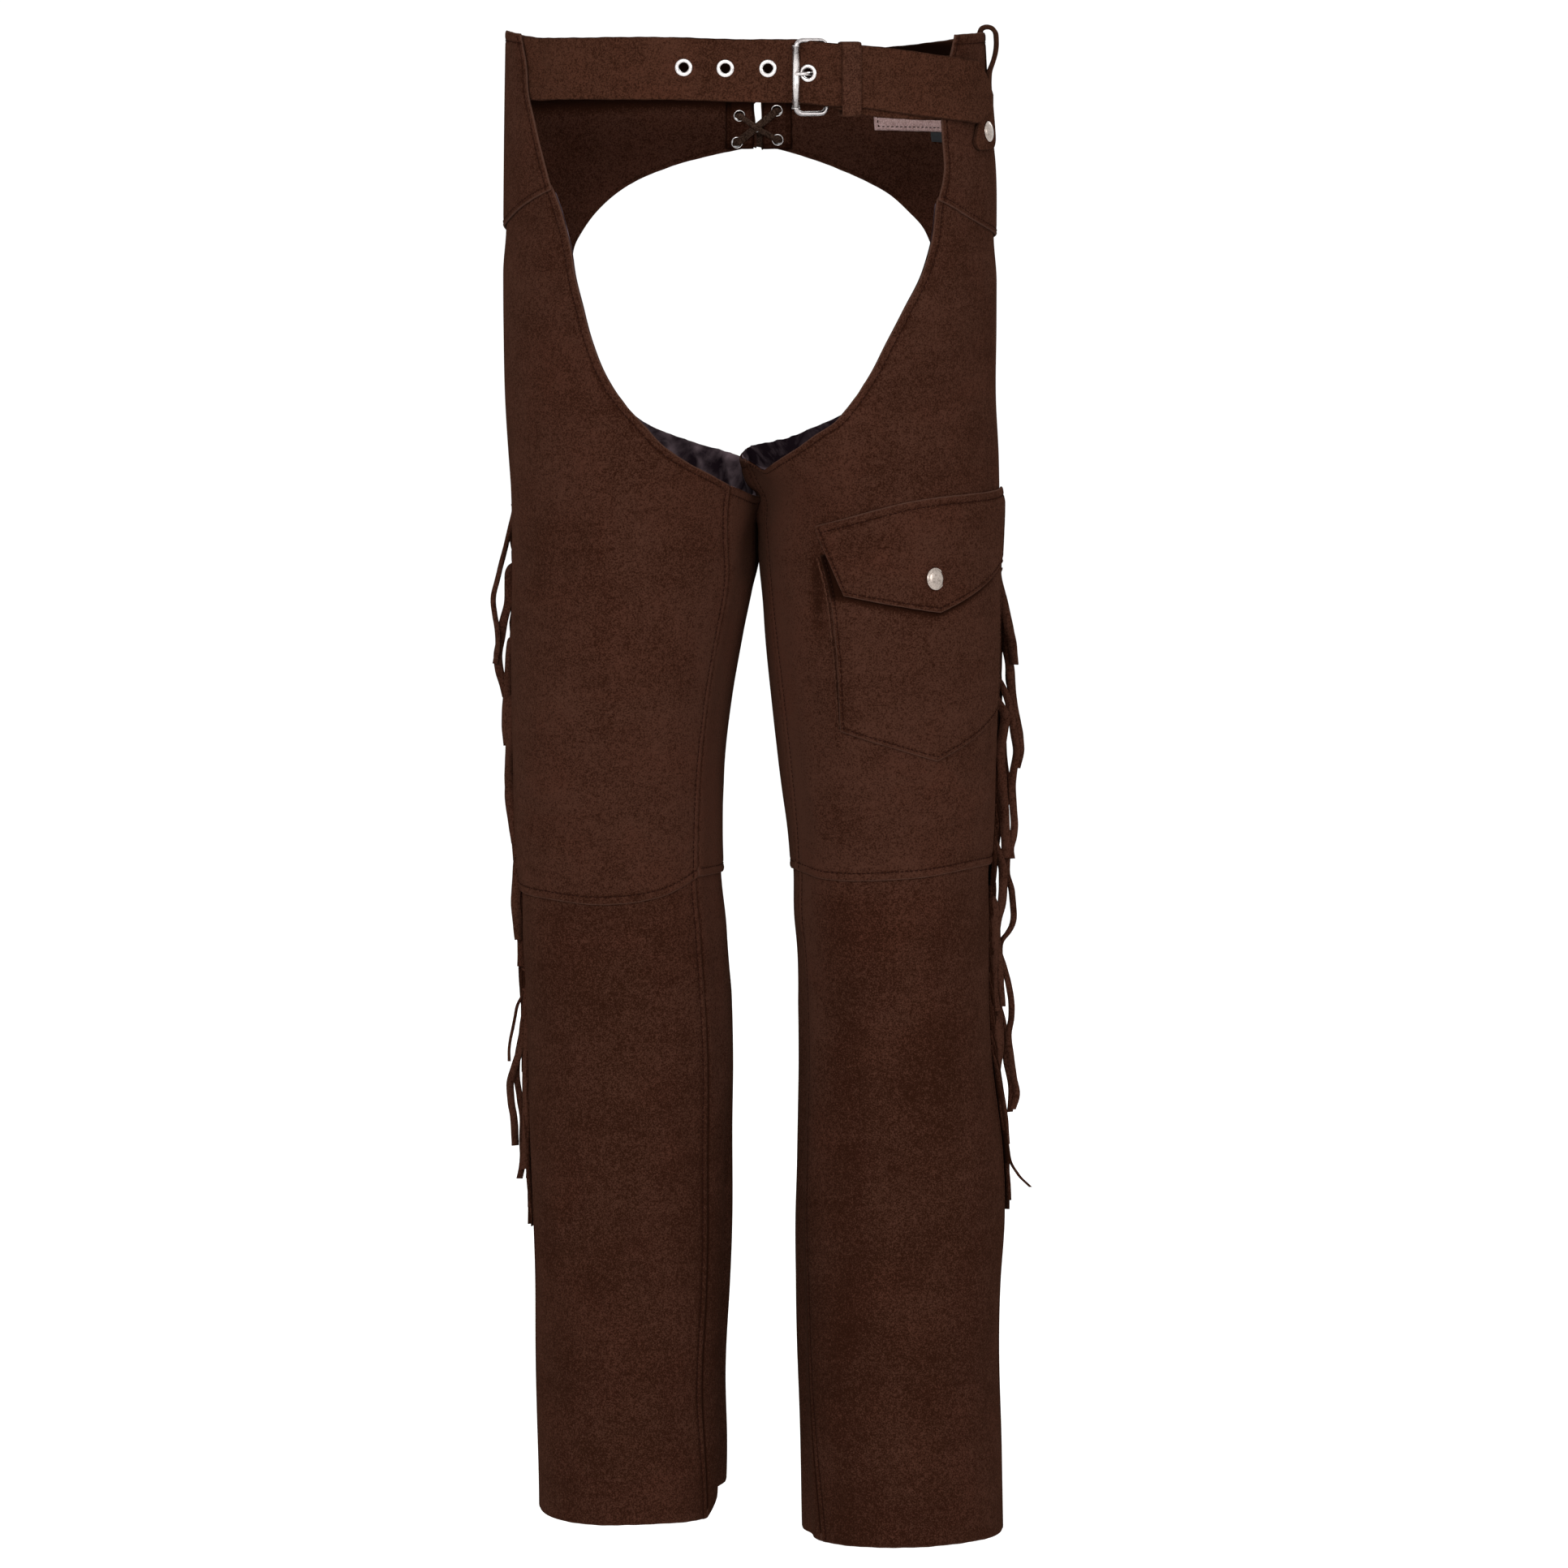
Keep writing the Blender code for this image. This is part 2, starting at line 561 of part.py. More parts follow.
def shin_panel(side, front):
    """Places and way out from the hem up to under the thigh panel."""
    knee = (KNEE_FRONT if front else KNEE_BACK)[side]
    hem = (HEM_FRONT if front else HEM_BACK)[side]
    columns = FRONT_COLUMNS if front else BACK_COLUMNS
    move = SEAM_HALF if front else -SEAM_HALF
    edges = []
    for seam, knee_height, way in (
        (inseam(side, front), KNEE_FRONT[side][0][1], move),
        (SIDE_SEAM[side], KNEE_FRONT[side][-1][1], -move),
    ):
        edge = upright(seam, seam[-1][1], knee_height - 12, SHIN_ROWS - 2, way)
        tucked = upright(seam, knee_height - 1.5, knee_height + KNEE_LAP / MM, 2, way)
        edges.append(np.concatenate([edge, tucked]))
    first, last = edges if front else edges[::-1]
    bottom, top = run(hem, columns), run(knee, columns)
    top[:, 1] += KNEE_LAP
    for edge, row in ((bottom, 0), (top, -1)):
        edge[0], edge[-1] = first[row], last[row]
    places = patch(first, last, bottom, top)
    # The two tucked rows follow the knee seam's line exactly, so the lap is even.
    places[-3, :, 1] = places[-1, :, 1] - KNEE_LAP - 12 * MM
    places[-2, :, 1] = places[-1, :, 1] - KNEE_LAP - 1.5 * MM
    out = np.zeros(places.shape[:2])
    out[-2:] = TUCK
    return places, out


for side in (RIGHT, LEFT):
    for front in (True, False):
        end = "front" if front else "back"
        upper, upper_out = thigh_panel(side, front)
        wall(f"{NAMES[side]}_{end}_upper", side, upper, suede, upper_out)
        lower, lower_out = shin_panel(side, front)
        wall(f"{NAMES[side]}_{end}_lower", side, lower, suede, lower_out)
        lined = upper[LINING_START:-2, 1:-1]
        wall(f"{NAMES[side]}_lining_{end}", side, lined, satin, LINING_OUT, SATIN)


# ---------------------------------------------------------------- yokes

YOKE_ROWS = 6
yokes = {}
for side in (RIGHT, LEFT):
    bottom = np.concatenate([
        run(YOKE_SEAM_FRONT[side], 7)[:-1],
        run(YOKE_SEAM_BACK[side], YOKE_COLUMNS)[:-1],
        run(SEAT_ARCH[side], 9),
    ])
    top = run(YOKE_TOP[side], len(bottom))
    front_edge = run(YOKE_FRONT_EDGE[side][::-1], YOKE_ROWS)
    back_edge = np.linspace(bottom[-1], top[-1], YOKE_ROWS)
    places = patch(front_edge, back_edge, bottom, top)
    yokes[side] = wall(f"{NAMES[side]}_yoke", side, places, suede)


# ---------------------------------------------------------------- centre back lacing

# Out of each layer at the centre back, from the outside in.
PATCH_OUT = TUCK + 0.2 * MM
FLANGE_IN = PATCH_OUT - SUEDE - GAP
LACE_INSIDE = FLANGE_IN - LACE_EYELET["lip"] - GAP - LACE / 2
LACE_OUTSIDE = GAP + LACE_EYELET["lip"] + GAP + LACE / 2
LACE_CROSSING = LACE + 0.6 * MM  # how far the upper of two crossing laces stands off
LACE_NARROW = 3.0 * MM  # the lace's width where it runs through an eyelet


def at_back(across, out, height):
    """A point near the centre back."""
    return surface(LEFT, place_at(LEFT, across, height, behind=True), height, out)


def inward(across, height):
    """The direction into the waist at the centre back."""
    way = at_back(across, -MM, height) - at_back(across, 0, height)
    return way / np.linalg.norm(way)


patches = {}
for side in (RIGHT, LEFT):
    faces = []
    for out in (PATCH_OUT, PATCH_OUT - SUEDE):
        faces.append(np.array([
            [at_back(across * MM, out, height * MM) for across in np.linspace(*PATCH_ACROSS[side], 3)]
            for height in np.linspace(PATCH_BOTTOM, PATCH_TOP, 4)
        ]))
    patches[side] = slab(f"lacing_patch_{NAMES[side]}", *faces, suede_trim)

lip, hole, barrel, flange = (LACE_EYELET[key] for key in ("lip", "hole", "barrel", "flange"))
eyelet_profile = (  # radius, inwards from the yoke's outer face
    (hole, -GAP - lip), (flange, -GAP - lip * 0.6), (flange, -GAP), (barrel, -GAP),
    (barrel, -FLANGE_IN), (flange, -FLANGE_IN), (flange, -FLANGE_IN + lip * 0.6),
    (hole, -FLANGE_IN + lip),
)
for side in (RIGHT, LEFT):
    cutters = []
    for row, right_place, left_place in LACE_ROWS:
        across, height = right_place if side == RIGHT else left_place
        across, height = across * MM, height * MM
        centre, axis = at_back(across, 0, height), inward(across, height)
        turned(f"lace_eyelet_{NAMES[side]}_{row}", eyelet_profile, LACE_EYELET["sides"], centre, axis,
               nickel, closed=True)
        bore = ((0, -3 * MM), (barrel + GAP, -3 * MM), (barrel + GAP, 6 * MM), (0, 6 * MM))
        cutters.append(
            turned(f"cut_lace_{NAMES[side]}_{row}", bore, LACE_EYELET["sides"], centre, axis, nickel)
        )
    cut(yokes[side], cutters)
    cut(patches[side], cutters)

KNOT_ACROSS, KNOT_HEIGHT, KNOT_OUT = 5.2 * MM, -80.5 * MM, LACE_OUTSIDE + 0.6 * MM
KNOT_RINGS = ((8.4, 2.6, 0.9), (5.6, 4.6, 2.2), (1.5, 5.4, 2.7), (-3, 5.2, 2.6), (-6.4, 3.8, 1.7),
              (-9.6, 2.8, 1.0))  # up from its middle, half width, half thickness, in millimetres

knot = []
for up, half_width, half_thick in KNOT_RINGS:
    loop = []
    for turn in range(8):
        t = math.pi * turn / 4
        loop.append(at_back(
            KNOT_ACROSS + half_width * MM * math.cos(t),
            KNOT_OUT + half_thick * MM * math.sin(t),
            KNOT_HEIGHT + up * MM,
        ))
    knot.append(loop)
skin("lace_knot", knot, suede_trim)

rows = {row: (np.array(right) * MM, np.array(left) * MM) for row, right, left in LACE_ROWS}
knot_right = np.array([KNOT_ACROSS - 5.9 * MM, KNOT_HEIGHT])
knot_left = np.array([KNOT_ACROSS + 5.9 * MM, KNOT_HEIGHT])
LACE_SPANS = (  # start, end, layer, how far its middle stands off
    (knot_right, rows["bottom"][0], LACE_OUTSIDE, 0),
    (rows["bottom"][0], rows["middle"][1], LACE_INSIDE, 0),
    (rows["middle"][1], rows["top"][0], LACE_OUTSIDE, 0),
    (rows["top"][0], rows["top"][1], LACE_INSIDE, 0),
    (rows["top"][1], rows["middle"][0], LACE_OUTSIDE, LACE_CROSSING),
    (rows["middle"][0], rows["bottom"][1], LACE_INSIDE, -LACE_CROSSING),
    (rows["bottom"][1], knot_left, LACE_OUTSIDE, 0),
)
stations = []  # place, out, width, direction of the width
width_way = np.array([0, -1.0])
for number, (start, end, layer, lift) in enumerate(LACE_SPANS):
    length = np.linalg.norm(end - start)
    way = (end - start) / length
    turned_way = np.array([-way[1], way[0]])
    turned_way *= 1 if turned_way @ width_way > 0 else -1
    if number:
        inner = (LACE_INSIDE + 1.3 * MM, LACE_OUTSIDE - 1.3 * MM)
        for out in inner if layer == LACE_OUTSIDE else inner[::-1]:
            stations.append((start, out, LACE_NARROW, width_way + turned_way))
        stations.append((start + way * 1.3 * MM, layer * 0.97, LACE_NARROW, turned_way))
        stations.append((start + way * 3.4 * MM, layer, LACE_WIDTH, turned_way))
    else:
        stations.append((start, layer, LACE_WIDTH, turned_way))
    if lift:
        for share, high in ((-9.0, 0), (-4.5, 1), (4.5, 1), (9.0, 0)):
            place = start + way * (length / 2 + share * MM)
            stations.append((place, layer + high * lift, LACE_WIDTH, turned_way))
    elif length > 15 * MM:
        stations.append((start + way * length / 2, layer, LACE_WIDTH, turned_way))
    if number < len(LACE_SPANS) - 1:
        stations.append((end - way * 3.4 * MM, layer, LACE_WIDTH, turned_way))
        stations.append((end - way * 1.3 * MM, layer * 0.97, LACE_NARROW, turned_way))
    else:
        stations.append((end, layer, LACE_WIDTH, turned_way))
    width_way = turned_way
points = np.array([at_back(place[0], out, place[1]) for place, out, _, _ in stations])
lace = []
for i, (place, out, width, way) in enumerate(stations):
    tangent = points[min(i + 1, len(points) - 1)] - points[max(i - 1, 0)]
    aside = place + way * MM
    width_line = at_back(aside[0], out, aside[1]) - points[i]
    width_line -= tangent * (width_line @ tangent) / (tangent @ tangent)
    width_line *= width / 2 / np.linalg.norm(width_line)
    thick_line = np.cross(tangent, width_line)
    thick_line *= LACE / 2 / np.linalg.norm(thick_line)
    lace.append([
        points[i] + width_line + thick_line, points[i] - width_line + thick_line,
        points[i] - width_line - thick_line, points[i] + width_line - thick_line,
    ])
skin("lace", lace, suede_trim)


# ---------------------------------------------------------------- belt


def at_front(across, out, height):
    """A point on or off the front of the waist."""
    return surface(LEFT, place_at(LEFT, across, height), height, out)


def filled(rows, step):
    """Rows across with more between them, so that none are further apart than the step."""
    rows = np.array(rows, float)
    if rows[0, 0] > rows[-1, 0]:
        rows = rows[::-1]
    places = [rows[0, 0]]
    for low, high in zip(rows, rows[1:]):
        count = math.ceil((high[0] - low[0]) / step)
        places += list(np.linspace(low[0], high[0], count + 1)[1:])
    columns = [smooth(np.array(places), rows[:, 0], rows[:, c]) for c in range(1, rows.shape[1])]
    return np.stack([places, *columns], -1)


strap_rows = filled(STRAP_ROWS, 13)
strap_faces = []
for thick in (STRAP, 0):
    strap_faces.append(np.array([
        [
            at_front(across * MM, out * MM + thick, height * MM + half * share * STRAP_WIDTH / 2)
            for half in (-1, 0, 1)
        ]
        for across, out, height, share in strap_rows
    ]))
strap = slab("belt_strap", *strap_faces, suede_trim)

lip, hole, barrel, flange = (BELT_EYELET[key] for key in ("lip", "hole", "barrel", "flange"))
belt_eyelet_profile = (  # radius, out of the strap's outer face
    (hole, -STRAP), (barrel, -STRAP), (barrel, GAP), (flange, GAP), (flange * 0.93, GAP + lip * 0.7),
    (flange * 0.7, GAP + lip), (hole, GAP + lip * 0.6),
)
cutters = []
for number, (across, height) in enumerate(BELT_EYELETS, 1):
    def on_strap(beside, above):
        out = np.interp(across + beside, strap_rows[:, 0], strap_rows[:, 1])
        return at_front((across + beside) * MM, out * MM + STRAP, (height + above) * MM)

    centre = (on_strap(-3, 0) + on_strap(3, 0)) / 2
    axis = np.cross(on_strap(3, 0) - on_strap(-3, 0), on_strap(0, 3) - on_strap(0, -3))
    axis /= np.linalg.norm(axis)
    turned(f"belt_eyelet_{number}", belt_eyelet_profile, BELT_EYELET["sides"], centre, axis, nickel,
           closed=True)
    bore = ((0, -6 * MM), (barrel + GAP, -6 * MM), (barrel + GAP, 3 * MM), (0, 3 * MM))
    cutters.append(turned(f"cut_belt_{number}", bore, BELT_EYELET["sides"], centre, axis, nickel))
cut(strap, cutters)

# The billet: one sheet from under the left yoke to the bar, round it and back behind itself.
FOLD_INSIDE = BAR_RADIUS + 0.4 * MM
path = []  # across and out of the outer face, across and out of the inner one, middle, width
for across, out, height, width in filled(BILLET_ROWS, 16)[::-1] * MM:
    path.append((across, out, across, out - BILLET, height, width))
end_height, end_width = path[-1][4:]
for turn in np.radians((120, 150, 180, 210, 240, 270)):
    path.append((
        BAR_ACROSS + (FOLD_INSIDE + BILLET) * math.cos(turn),
        BAR_OUT + (FOLD_INSIDE + BILLET) * math.sin(turn),
        BAR_ACROSS + FOLD_INSIDE * math.cos(turn),
        BAR_OUT + FOLD_INSIDE * math.sin(turn),
        end_height,
        end_width,
    ))
for across, out in np.array(BILLET_RETURN) * MM:
    path.append((across, out - BILLET, across, out, end_height, end_width))
billet_faces = []
for face in (0, 2):
    billet_faces.append(np.array([
        [at_front(row[face], row[face + 1], row[4] + half * row[5] / 2) for half in (-1, 0, 1)]
        for row in path
    ]))
billet = slab("belt_billet", *billet_faces, suede_trim)
slot = []
for out in (2 * MM, -11 * MM):
    slot.append(np.array([
        [at_front(across, out, PRONG_HEIGHT + half) for half in (-2.6 * MM, 2.6 * MM)]
        for across in (BAR_ACROSS - 8 * MM, BAR_ACROSS + 4.6 * MM)
    ]))
cut(billet, [slab("cut_slot", *slot, suede_trim)])

# The buckle: a bent rod, a roller on its free side and a prong that turns on its bar.
frame_depth = math.hypot(BAR_ACROSS - ROLLER_ACROSS, BAR_OUT - ROLLER_OUT)
frame_line = []
for along, height in rounded(
    (0, BUCKLE_MIDDLE - BUCKLE_HEIGHT / 2), (frame_depth, BUCKLE_MIDDLE + BUCKLE_HEIGHT / 2),
    BUCKLE_CORNER, 5,
):
    share = along / frame_depth
    across = ROLLER_ACROSS + share * (BAR_ACROSS - ROLLER_ACROSS)
    frame_line.append(at_front(across, ROLLER_OUT + share * (BAR_OUT - ROLLER_OUT), height))
tube("buckle_frame", frame_line, 8, BAR_RADIUS, nickel, closed=True, across=(0, -1, 0))

roller_ends = [
    at_front(ROLLER_ACROSS, ROLLER_OUT, BUCKLE_MIDDLE + half * ROLLER_LENGTH / 2) for half in (-1, 1)
]
roller_axis = roller_ends[1] - roller_ends[0]
half = ROLLER_LENGTH / 2
roller_profile = (
    (ROLLER_BORE, -half), (ROLLER_RADIUS - 0.3 * MM, -half), (ROLLER_RADIUS, -half + 0.4 * MM),
    (ROLLER_RADIUS, half - 0.4 * MM), (ROLLER_RADIUS - 0.3 * MM, half), (ROLLER_BORE, half),
)
turned("buckle_roller", roller_profile, 12, sum(roller_ends) / 2, roller_axis, nickel, closed=True)

prong_line = []
for turn in np.radians(np.linspace(150, -125, 10)):
    reach = BAR_RADIUS + 0.35 * MM + PRONG_RADIUS
    prong_line.append((BAR_ACROSS + reach * math.cos(turn), BAR_OUT + reach * math.sin(turn)))
prong_line += [tuple(place) for place in np.array(PRONG_PATH) * MM]
prong_line = [at_front(across, out, PRONG_HEIGHT) for across, out in prong_line]
tube("buckle_prong", prong_line, 6, PRONG_RADIUS, nickel)

# The keeper: a band round the strap and the billet.
keeper = []
for along, grow in ((-1, 0), (-1, KEEPER), (1, KEEPER), (1, 0)):
    low, high = np.array([(out * MM, height * MM) for out, height in zip(KEEPER_OUT, KEEPER_HEIGHT)])
    low, high = low + KEEPER - grow, high - KEEPER + grow
    keeper.append([
        at_front(KEEPER_ACROSS + along * KEEPER_WIDTH / 2, out, height)
        for out, height in rounded(low, high, KEEPER_ROUND * MM - KEEPER + grow, 3)
    ])
skin("belt_keeper", keeper, suede_trim, closed=True)


# ---------------------------------------------------------------- loop strap over the left hip

loop_line = np.array(LOOP_ROWS, float)
steps = np.gradient(loop_line[:, :2], axis=0)
normals = np.stack([-steps[:, 1], steps[:, 0]], -1)
normals /= np.linalg.norm(normals, axis=1, keepdims=True)
loop_faces = []
for way in (-1, 1):
    moved = loop_line[:, :2] * MM + way * SUEDE / 2 * normals
    loop_faces.append(np.array([
        [
            surface(LEFT, angle + half * LOOP_HALF_WIDTH, height, out)
            for half in (-1, -0.35, 0.35, 1)
        ]
        for (out, height), angle in zip(moved, loop_line[:, 2])
    ]))
slab("hip_loop", *loop_faces, suede_trim)


def snap_cap(name, side, angle, height, radius, out_at):
    """A domed cap on a sheet whose way out at a place is given by out_at."""
    def on_sheet(turn, up):
        place = (angle + turn, height * MM + up)
        return surface(side, *place, out_at(*place))

    axis = side * np.cross(on_sheet(2, 0) - on_sheet(-2, 0), on_sheet(0, 3 * MM) - on_sheet(0, -3 * MM))
    axis /= np.linalg.norm(axis)
    profile = (
        (0, GAP), (radius * MM, GAP), (radius * MM, 0.9 * MM), (radius * 0.84 * MM, SNAP_DOME * 0.8),
        (radius * 0.45 * MM, SNAP_DOME), (0, SNAP_DOME),
    )
    turned(name, profile, 12, on_sheet(0, 0), axis, nickel)


loop_outer = LOOP_ROWS[-1][0] * MM + SUEDE / 2
snap_cap("hip_snap_cap", LEFT, *HIP_SNAP, lambda angle, height: loop_outer)


# ---------------------------------------------------------------- thigh pocket


def pocket_out(angle, height):
    """Way out of the pocket's outer face."""
    across = (angle - POCKET_MIDDLE[0]) / POCKET_REACH[0]
    level = height - (POCKET_MIDDLE[1] + POCKET_TILT * (angle - POCKET_MIDDLE[0])) * MM
    up = level / (POCKET_REACH[1] * MM)
    return STITCHED + SUEDE + POCKET_PUFF * np.clip(1 - across**2, 0, 1) * np.clip(1 - up**2, 0, 1)


def flap_out(angle, height):
    """Way out of the flap's outer face: on the leg at its top, over the pocket below."""
    level = height - POCKET_TILT * (angle - POCKET_MIDDLE[0]) * MM
    lift = ramp(-level, 318 * MM, 331 * MM) * (STITCHED + SUEDE)
    return pocket_out(angle, height) + lift


for name, edges, rows_up, out_at in (
    ("pocket_body", POCKET, 7, pocket_out),
    ("pocket_flap", FLAP, 6, flap_out),
):
    places = patch(
        run(edges["left"], rows_up), run(edges["right"], rows_up),
        run(edges["bottom"], 11, straight=True), run(edges["top"], 11),
    )
    wall(name, LEFT, places, suede, out_at(places[..., 0], places[..., 1]))
snap_cap("pocket_snap_cap", LEFT, *POCKET_SNAP, flap_out)


# ---------------------------------------------------------------- label

for name, (first, last), (low, high), finish in (
    ("label", LABEL_ANGLES, LABEL_HEIGHTS, label_leather),
    ("label_tab", TAB_ANGLES, TAB_HEIGHTS, tab_cloth),
):
    angles, heights = np.meshgrid(np.linspace(first, last, 5), np.linspace(low, high, 3) * MM)
    wall(name, LEFT, np.stack([angles, heights], -1), finish, TUCK, LABEL)


# ---------------------------------------------------------------- fringe


STRAND_LANES = (-1, 1, 0)  # forwards, backwards, straight down
STRAND_START = ((0.5, 1.5, 0.1), (4.5, 2.7, 0.45), (14, 4.3, 1.0))  # down, out, share of the lane


def beside(side, height, aside, out):
    """A point beside a leg's side seam."""
    seam = np.array(sorted(SIDE_SEAM[side], key=lambda place: place[1]), float)
    angle = smooth(height / MM, seam[:, 1], seam[:, 0])
    here = surface(side, angle, height, out)
    way = surface(side, angle + 1, height, out) - here
    return here + way / np.linalg.norm(way) * aside


for side in (RIGHT, LEFT):
    strip_top, strip_bottom, strands = FRINGE[side]
    roots = np.linspace(strip_top - 4, strip_bottom + 4, strands) * MM
    levels = [strip_top * MM]
    for root in roots:
        levels += [root + STRAND_ROOT / 2, root - STRAND_ROOT / 2]
    levels.append(strip_bottom * MM)
    corners = ((-STRIP_WIDTH / 2, STITCHED), (-STRIP_WIDTH / 2, STITCHED + STRIP),
               (STRIP_WIDTH / 2, STITCHED + STRIP), (STRIP_WIDTH / 2, STITCHED))
    points = [beside(side, level, aside, out) for level in levels for aside, out in corners]
    faces = [(0, 1, 2, 3), tuple(len(points) - 4 + c for c in (3, 2, 1, 0))]
    for row in range(len(levels) - 1):
        a, b = row * 4, row * 4 + 4
        is_root = row % 2 == 1
        for c, n in ((0, 1), (1, 2), (2, 3), (3, 0)):
            if not (is_root and c == 1):
                faces.append((a + c, a + n, b + n, b + c))
        if not is_root:
            continue
        number = row // 2
        root = roots[number]
        lane = STRAND_LANES[number % 3] * LANE_WIDTH
        length = STRAND_LENGTH * (1 + 0.16 * math.sin(2.4 * number + side))
        slope = np.interp(root / MM, *zip(*STRAND_SLOPE[side]))
        line = [(0, 0, 0)] + [(down * MM, out * MM, share * lane) for down, out, share in STRAND_START]
        for down in (0.5 * length, length):
            sway = 0.9 * MM * math.sin(1.7 * number + 30 * down)
            line.append((down, 4.3 * MM + slope * (down - 14 * MM), lane + sway))
        ring_before = (a + 1, a + 2, b + 2, b + 1)
        for i in range(1, len(line)):
            down, out, aside = line[i]
            ahead = line[min(i + 1, len(line) - 1)]
            tangent = np.array([ahead[1] - line[i - 1][1], line[i - 1][0] - ahead[0]])
            tangent /= np.linalg.norm(tangent)
            thick = np.array([-tangent[1], tangent[0]]) * STRAND / 2
            half = STRIP_WIDTH / 2 * (1, 0.9, 0.87, 0.87, 0.83, 0.7)[i]
            fresh = len(points)
            for way, edge in ((1, -1), (1, 1), (-1, 1), (-1, -1)):
                points.append(beside(
                    side, root - down + way * thick[1], aside + edge * half,
                    STITCHED + STRIP + out + way * thick[0],
                ))
            ring_now = tuple(range(fresh, fresh + 4))
            for c in range(4):
                n = (c + 1) % 4
                faces.append((ring_before[c], ring_before[n], ring_now[n], ring_now[c]))
            ring_before = ring_now
        faces.append(ring_before)
    add(f"{NAMES[side]}_fringe", points, faces, suede_trim)
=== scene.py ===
"""The looks of a pair of worn suede chaps: nap, creases, linings, topstitching, fringe and metalwork.

Metres, +Z up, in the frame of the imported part. Right and left are the wearer's; the right leg is at -X.
"""

import functools
import math

import bmesh
import bpy
import numpy as np
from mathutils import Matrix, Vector


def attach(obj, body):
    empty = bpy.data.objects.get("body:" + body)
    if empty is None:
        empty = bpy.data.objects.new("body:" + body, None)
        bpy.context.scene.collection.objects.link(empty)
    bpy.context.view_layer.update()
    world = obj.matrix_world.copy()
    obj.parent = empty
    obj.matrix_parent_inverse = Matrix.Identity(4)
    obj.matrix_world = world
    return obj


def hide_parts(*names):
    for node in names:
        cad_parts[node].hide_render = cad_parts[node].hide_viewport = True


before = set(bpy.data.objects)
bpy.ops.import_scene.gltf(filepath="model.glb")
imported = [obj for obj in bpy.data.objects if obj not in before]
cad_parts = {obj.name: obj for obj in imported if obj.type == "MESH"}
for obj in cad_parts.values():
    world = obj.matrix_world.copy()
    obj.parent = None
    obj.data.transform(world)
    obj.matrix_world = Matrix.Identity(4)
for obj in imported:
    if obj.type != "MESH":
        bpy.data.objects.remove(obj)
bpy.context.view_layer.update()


# ------------------------------------------------------------------ camera, floor and light
# A plain pale studio: one long floor, soft light from the front and above, and a long lens at
# the height of the waist, tilted a little down.

camera = bpy.data.objects.new("camera", bpy.data.cameras.new("camera"))
bpy.context.collection.objects.link(camera)
camera.location = (0.0235, -6.5, 0.2114)
camera.rotation_euler = (math.radians(90 - 6.4), 0, 0)
camera.data.sensor_width = 36
camera.data.lens = 217.64
camera.data.clip_end = 200
bpy.context.scene.camera = camera
bpy.context.scene.view_settings.view_transform = "Standard"

FLOOR_HEIGHT, FLOOR_REACH = -1.17, 60
floor_mesh = bpy.data.meshes.new("floor")
floor_mesh.from_pydata(
    [(x * FLOOR_REACH, y * FLOOR_REACH, FLOOR_HEIGHT) for x, y in ((-1, -1), (1, -1), (1, 1), (-1, 1))],
    [], [(0, 1, 2, 3)],
)
floor = bpy.data.objects.new("floor", floor_mesh)
bpy.context.collection.objects.link(floor)
floor_paint = bpy.data.materials.new("floor_paint")
floor_paint.use_nodes = True
floor_paint.node_tree.nodes["Principled BSDF"].inputs["Base Color"].default_value = (0.86, 0.86, 0.86, 1)
floor_paint.node_tree.nodes["Principled BSDF"].inputs["Roughness"].default_value = 0.9
floor_mesh.materials.append(floor_paint)

world = bpy.data.worlds.new("studio")
world.use_nodes = True
world.node_tree.nodes["Background"].inputs["Color"].default_value = (1, 1, 1, 1)
world.node_tree.nodes["Background"].inputs["Strength"].default_value = 1.2
bpy.context.scene.world = world


def softbox(name, place, aim, size, watts):
    """A square area light that faces a point."""
    light = bpy.data.lights.new(name, "AREA")
    light.size, light.energy = size, watts
    made = bpy.data.objects.new(name, light)
    made.location = place
    made.rotation_euler = (Vector(aim) - Vector(place)).to_track_quat("-Z", "Y").to_euler()
    bpy.context.collection.objects.link(made)


softbox("key", (-0.7, -4.0, 1.3), (0, 0, -0.45), 1.4, 135)
softbox("side", (2.6, -2.4, 0.6), (0, 0, -0.5), 1.2, 24)
softbox("back", (1.2, 3.6, 1.2), (0, 0, -0.4), 1.8, 45)


# ------------------------------------------------------------------ the worn suede of the legs
# Each leg is four panels of brushed split leather about 1.6 mm thick: a front and a back thigh
# panel and, sewn under their lower edges, a front and a back shin panel. Every piece on a leg is
# cut in places (angle, height) on one worn surface, so they all bend and crease together.

MM = 0.001
RIGHT, LEFT = -1, 1
NAMES = {RIGHT: "right", LEFT: "left"}
SUEDE = 1.6 * MM
UNDER = -(SUEDE + 0.4 * MM)  # way out of a sheet that lies under its neighbour's edge

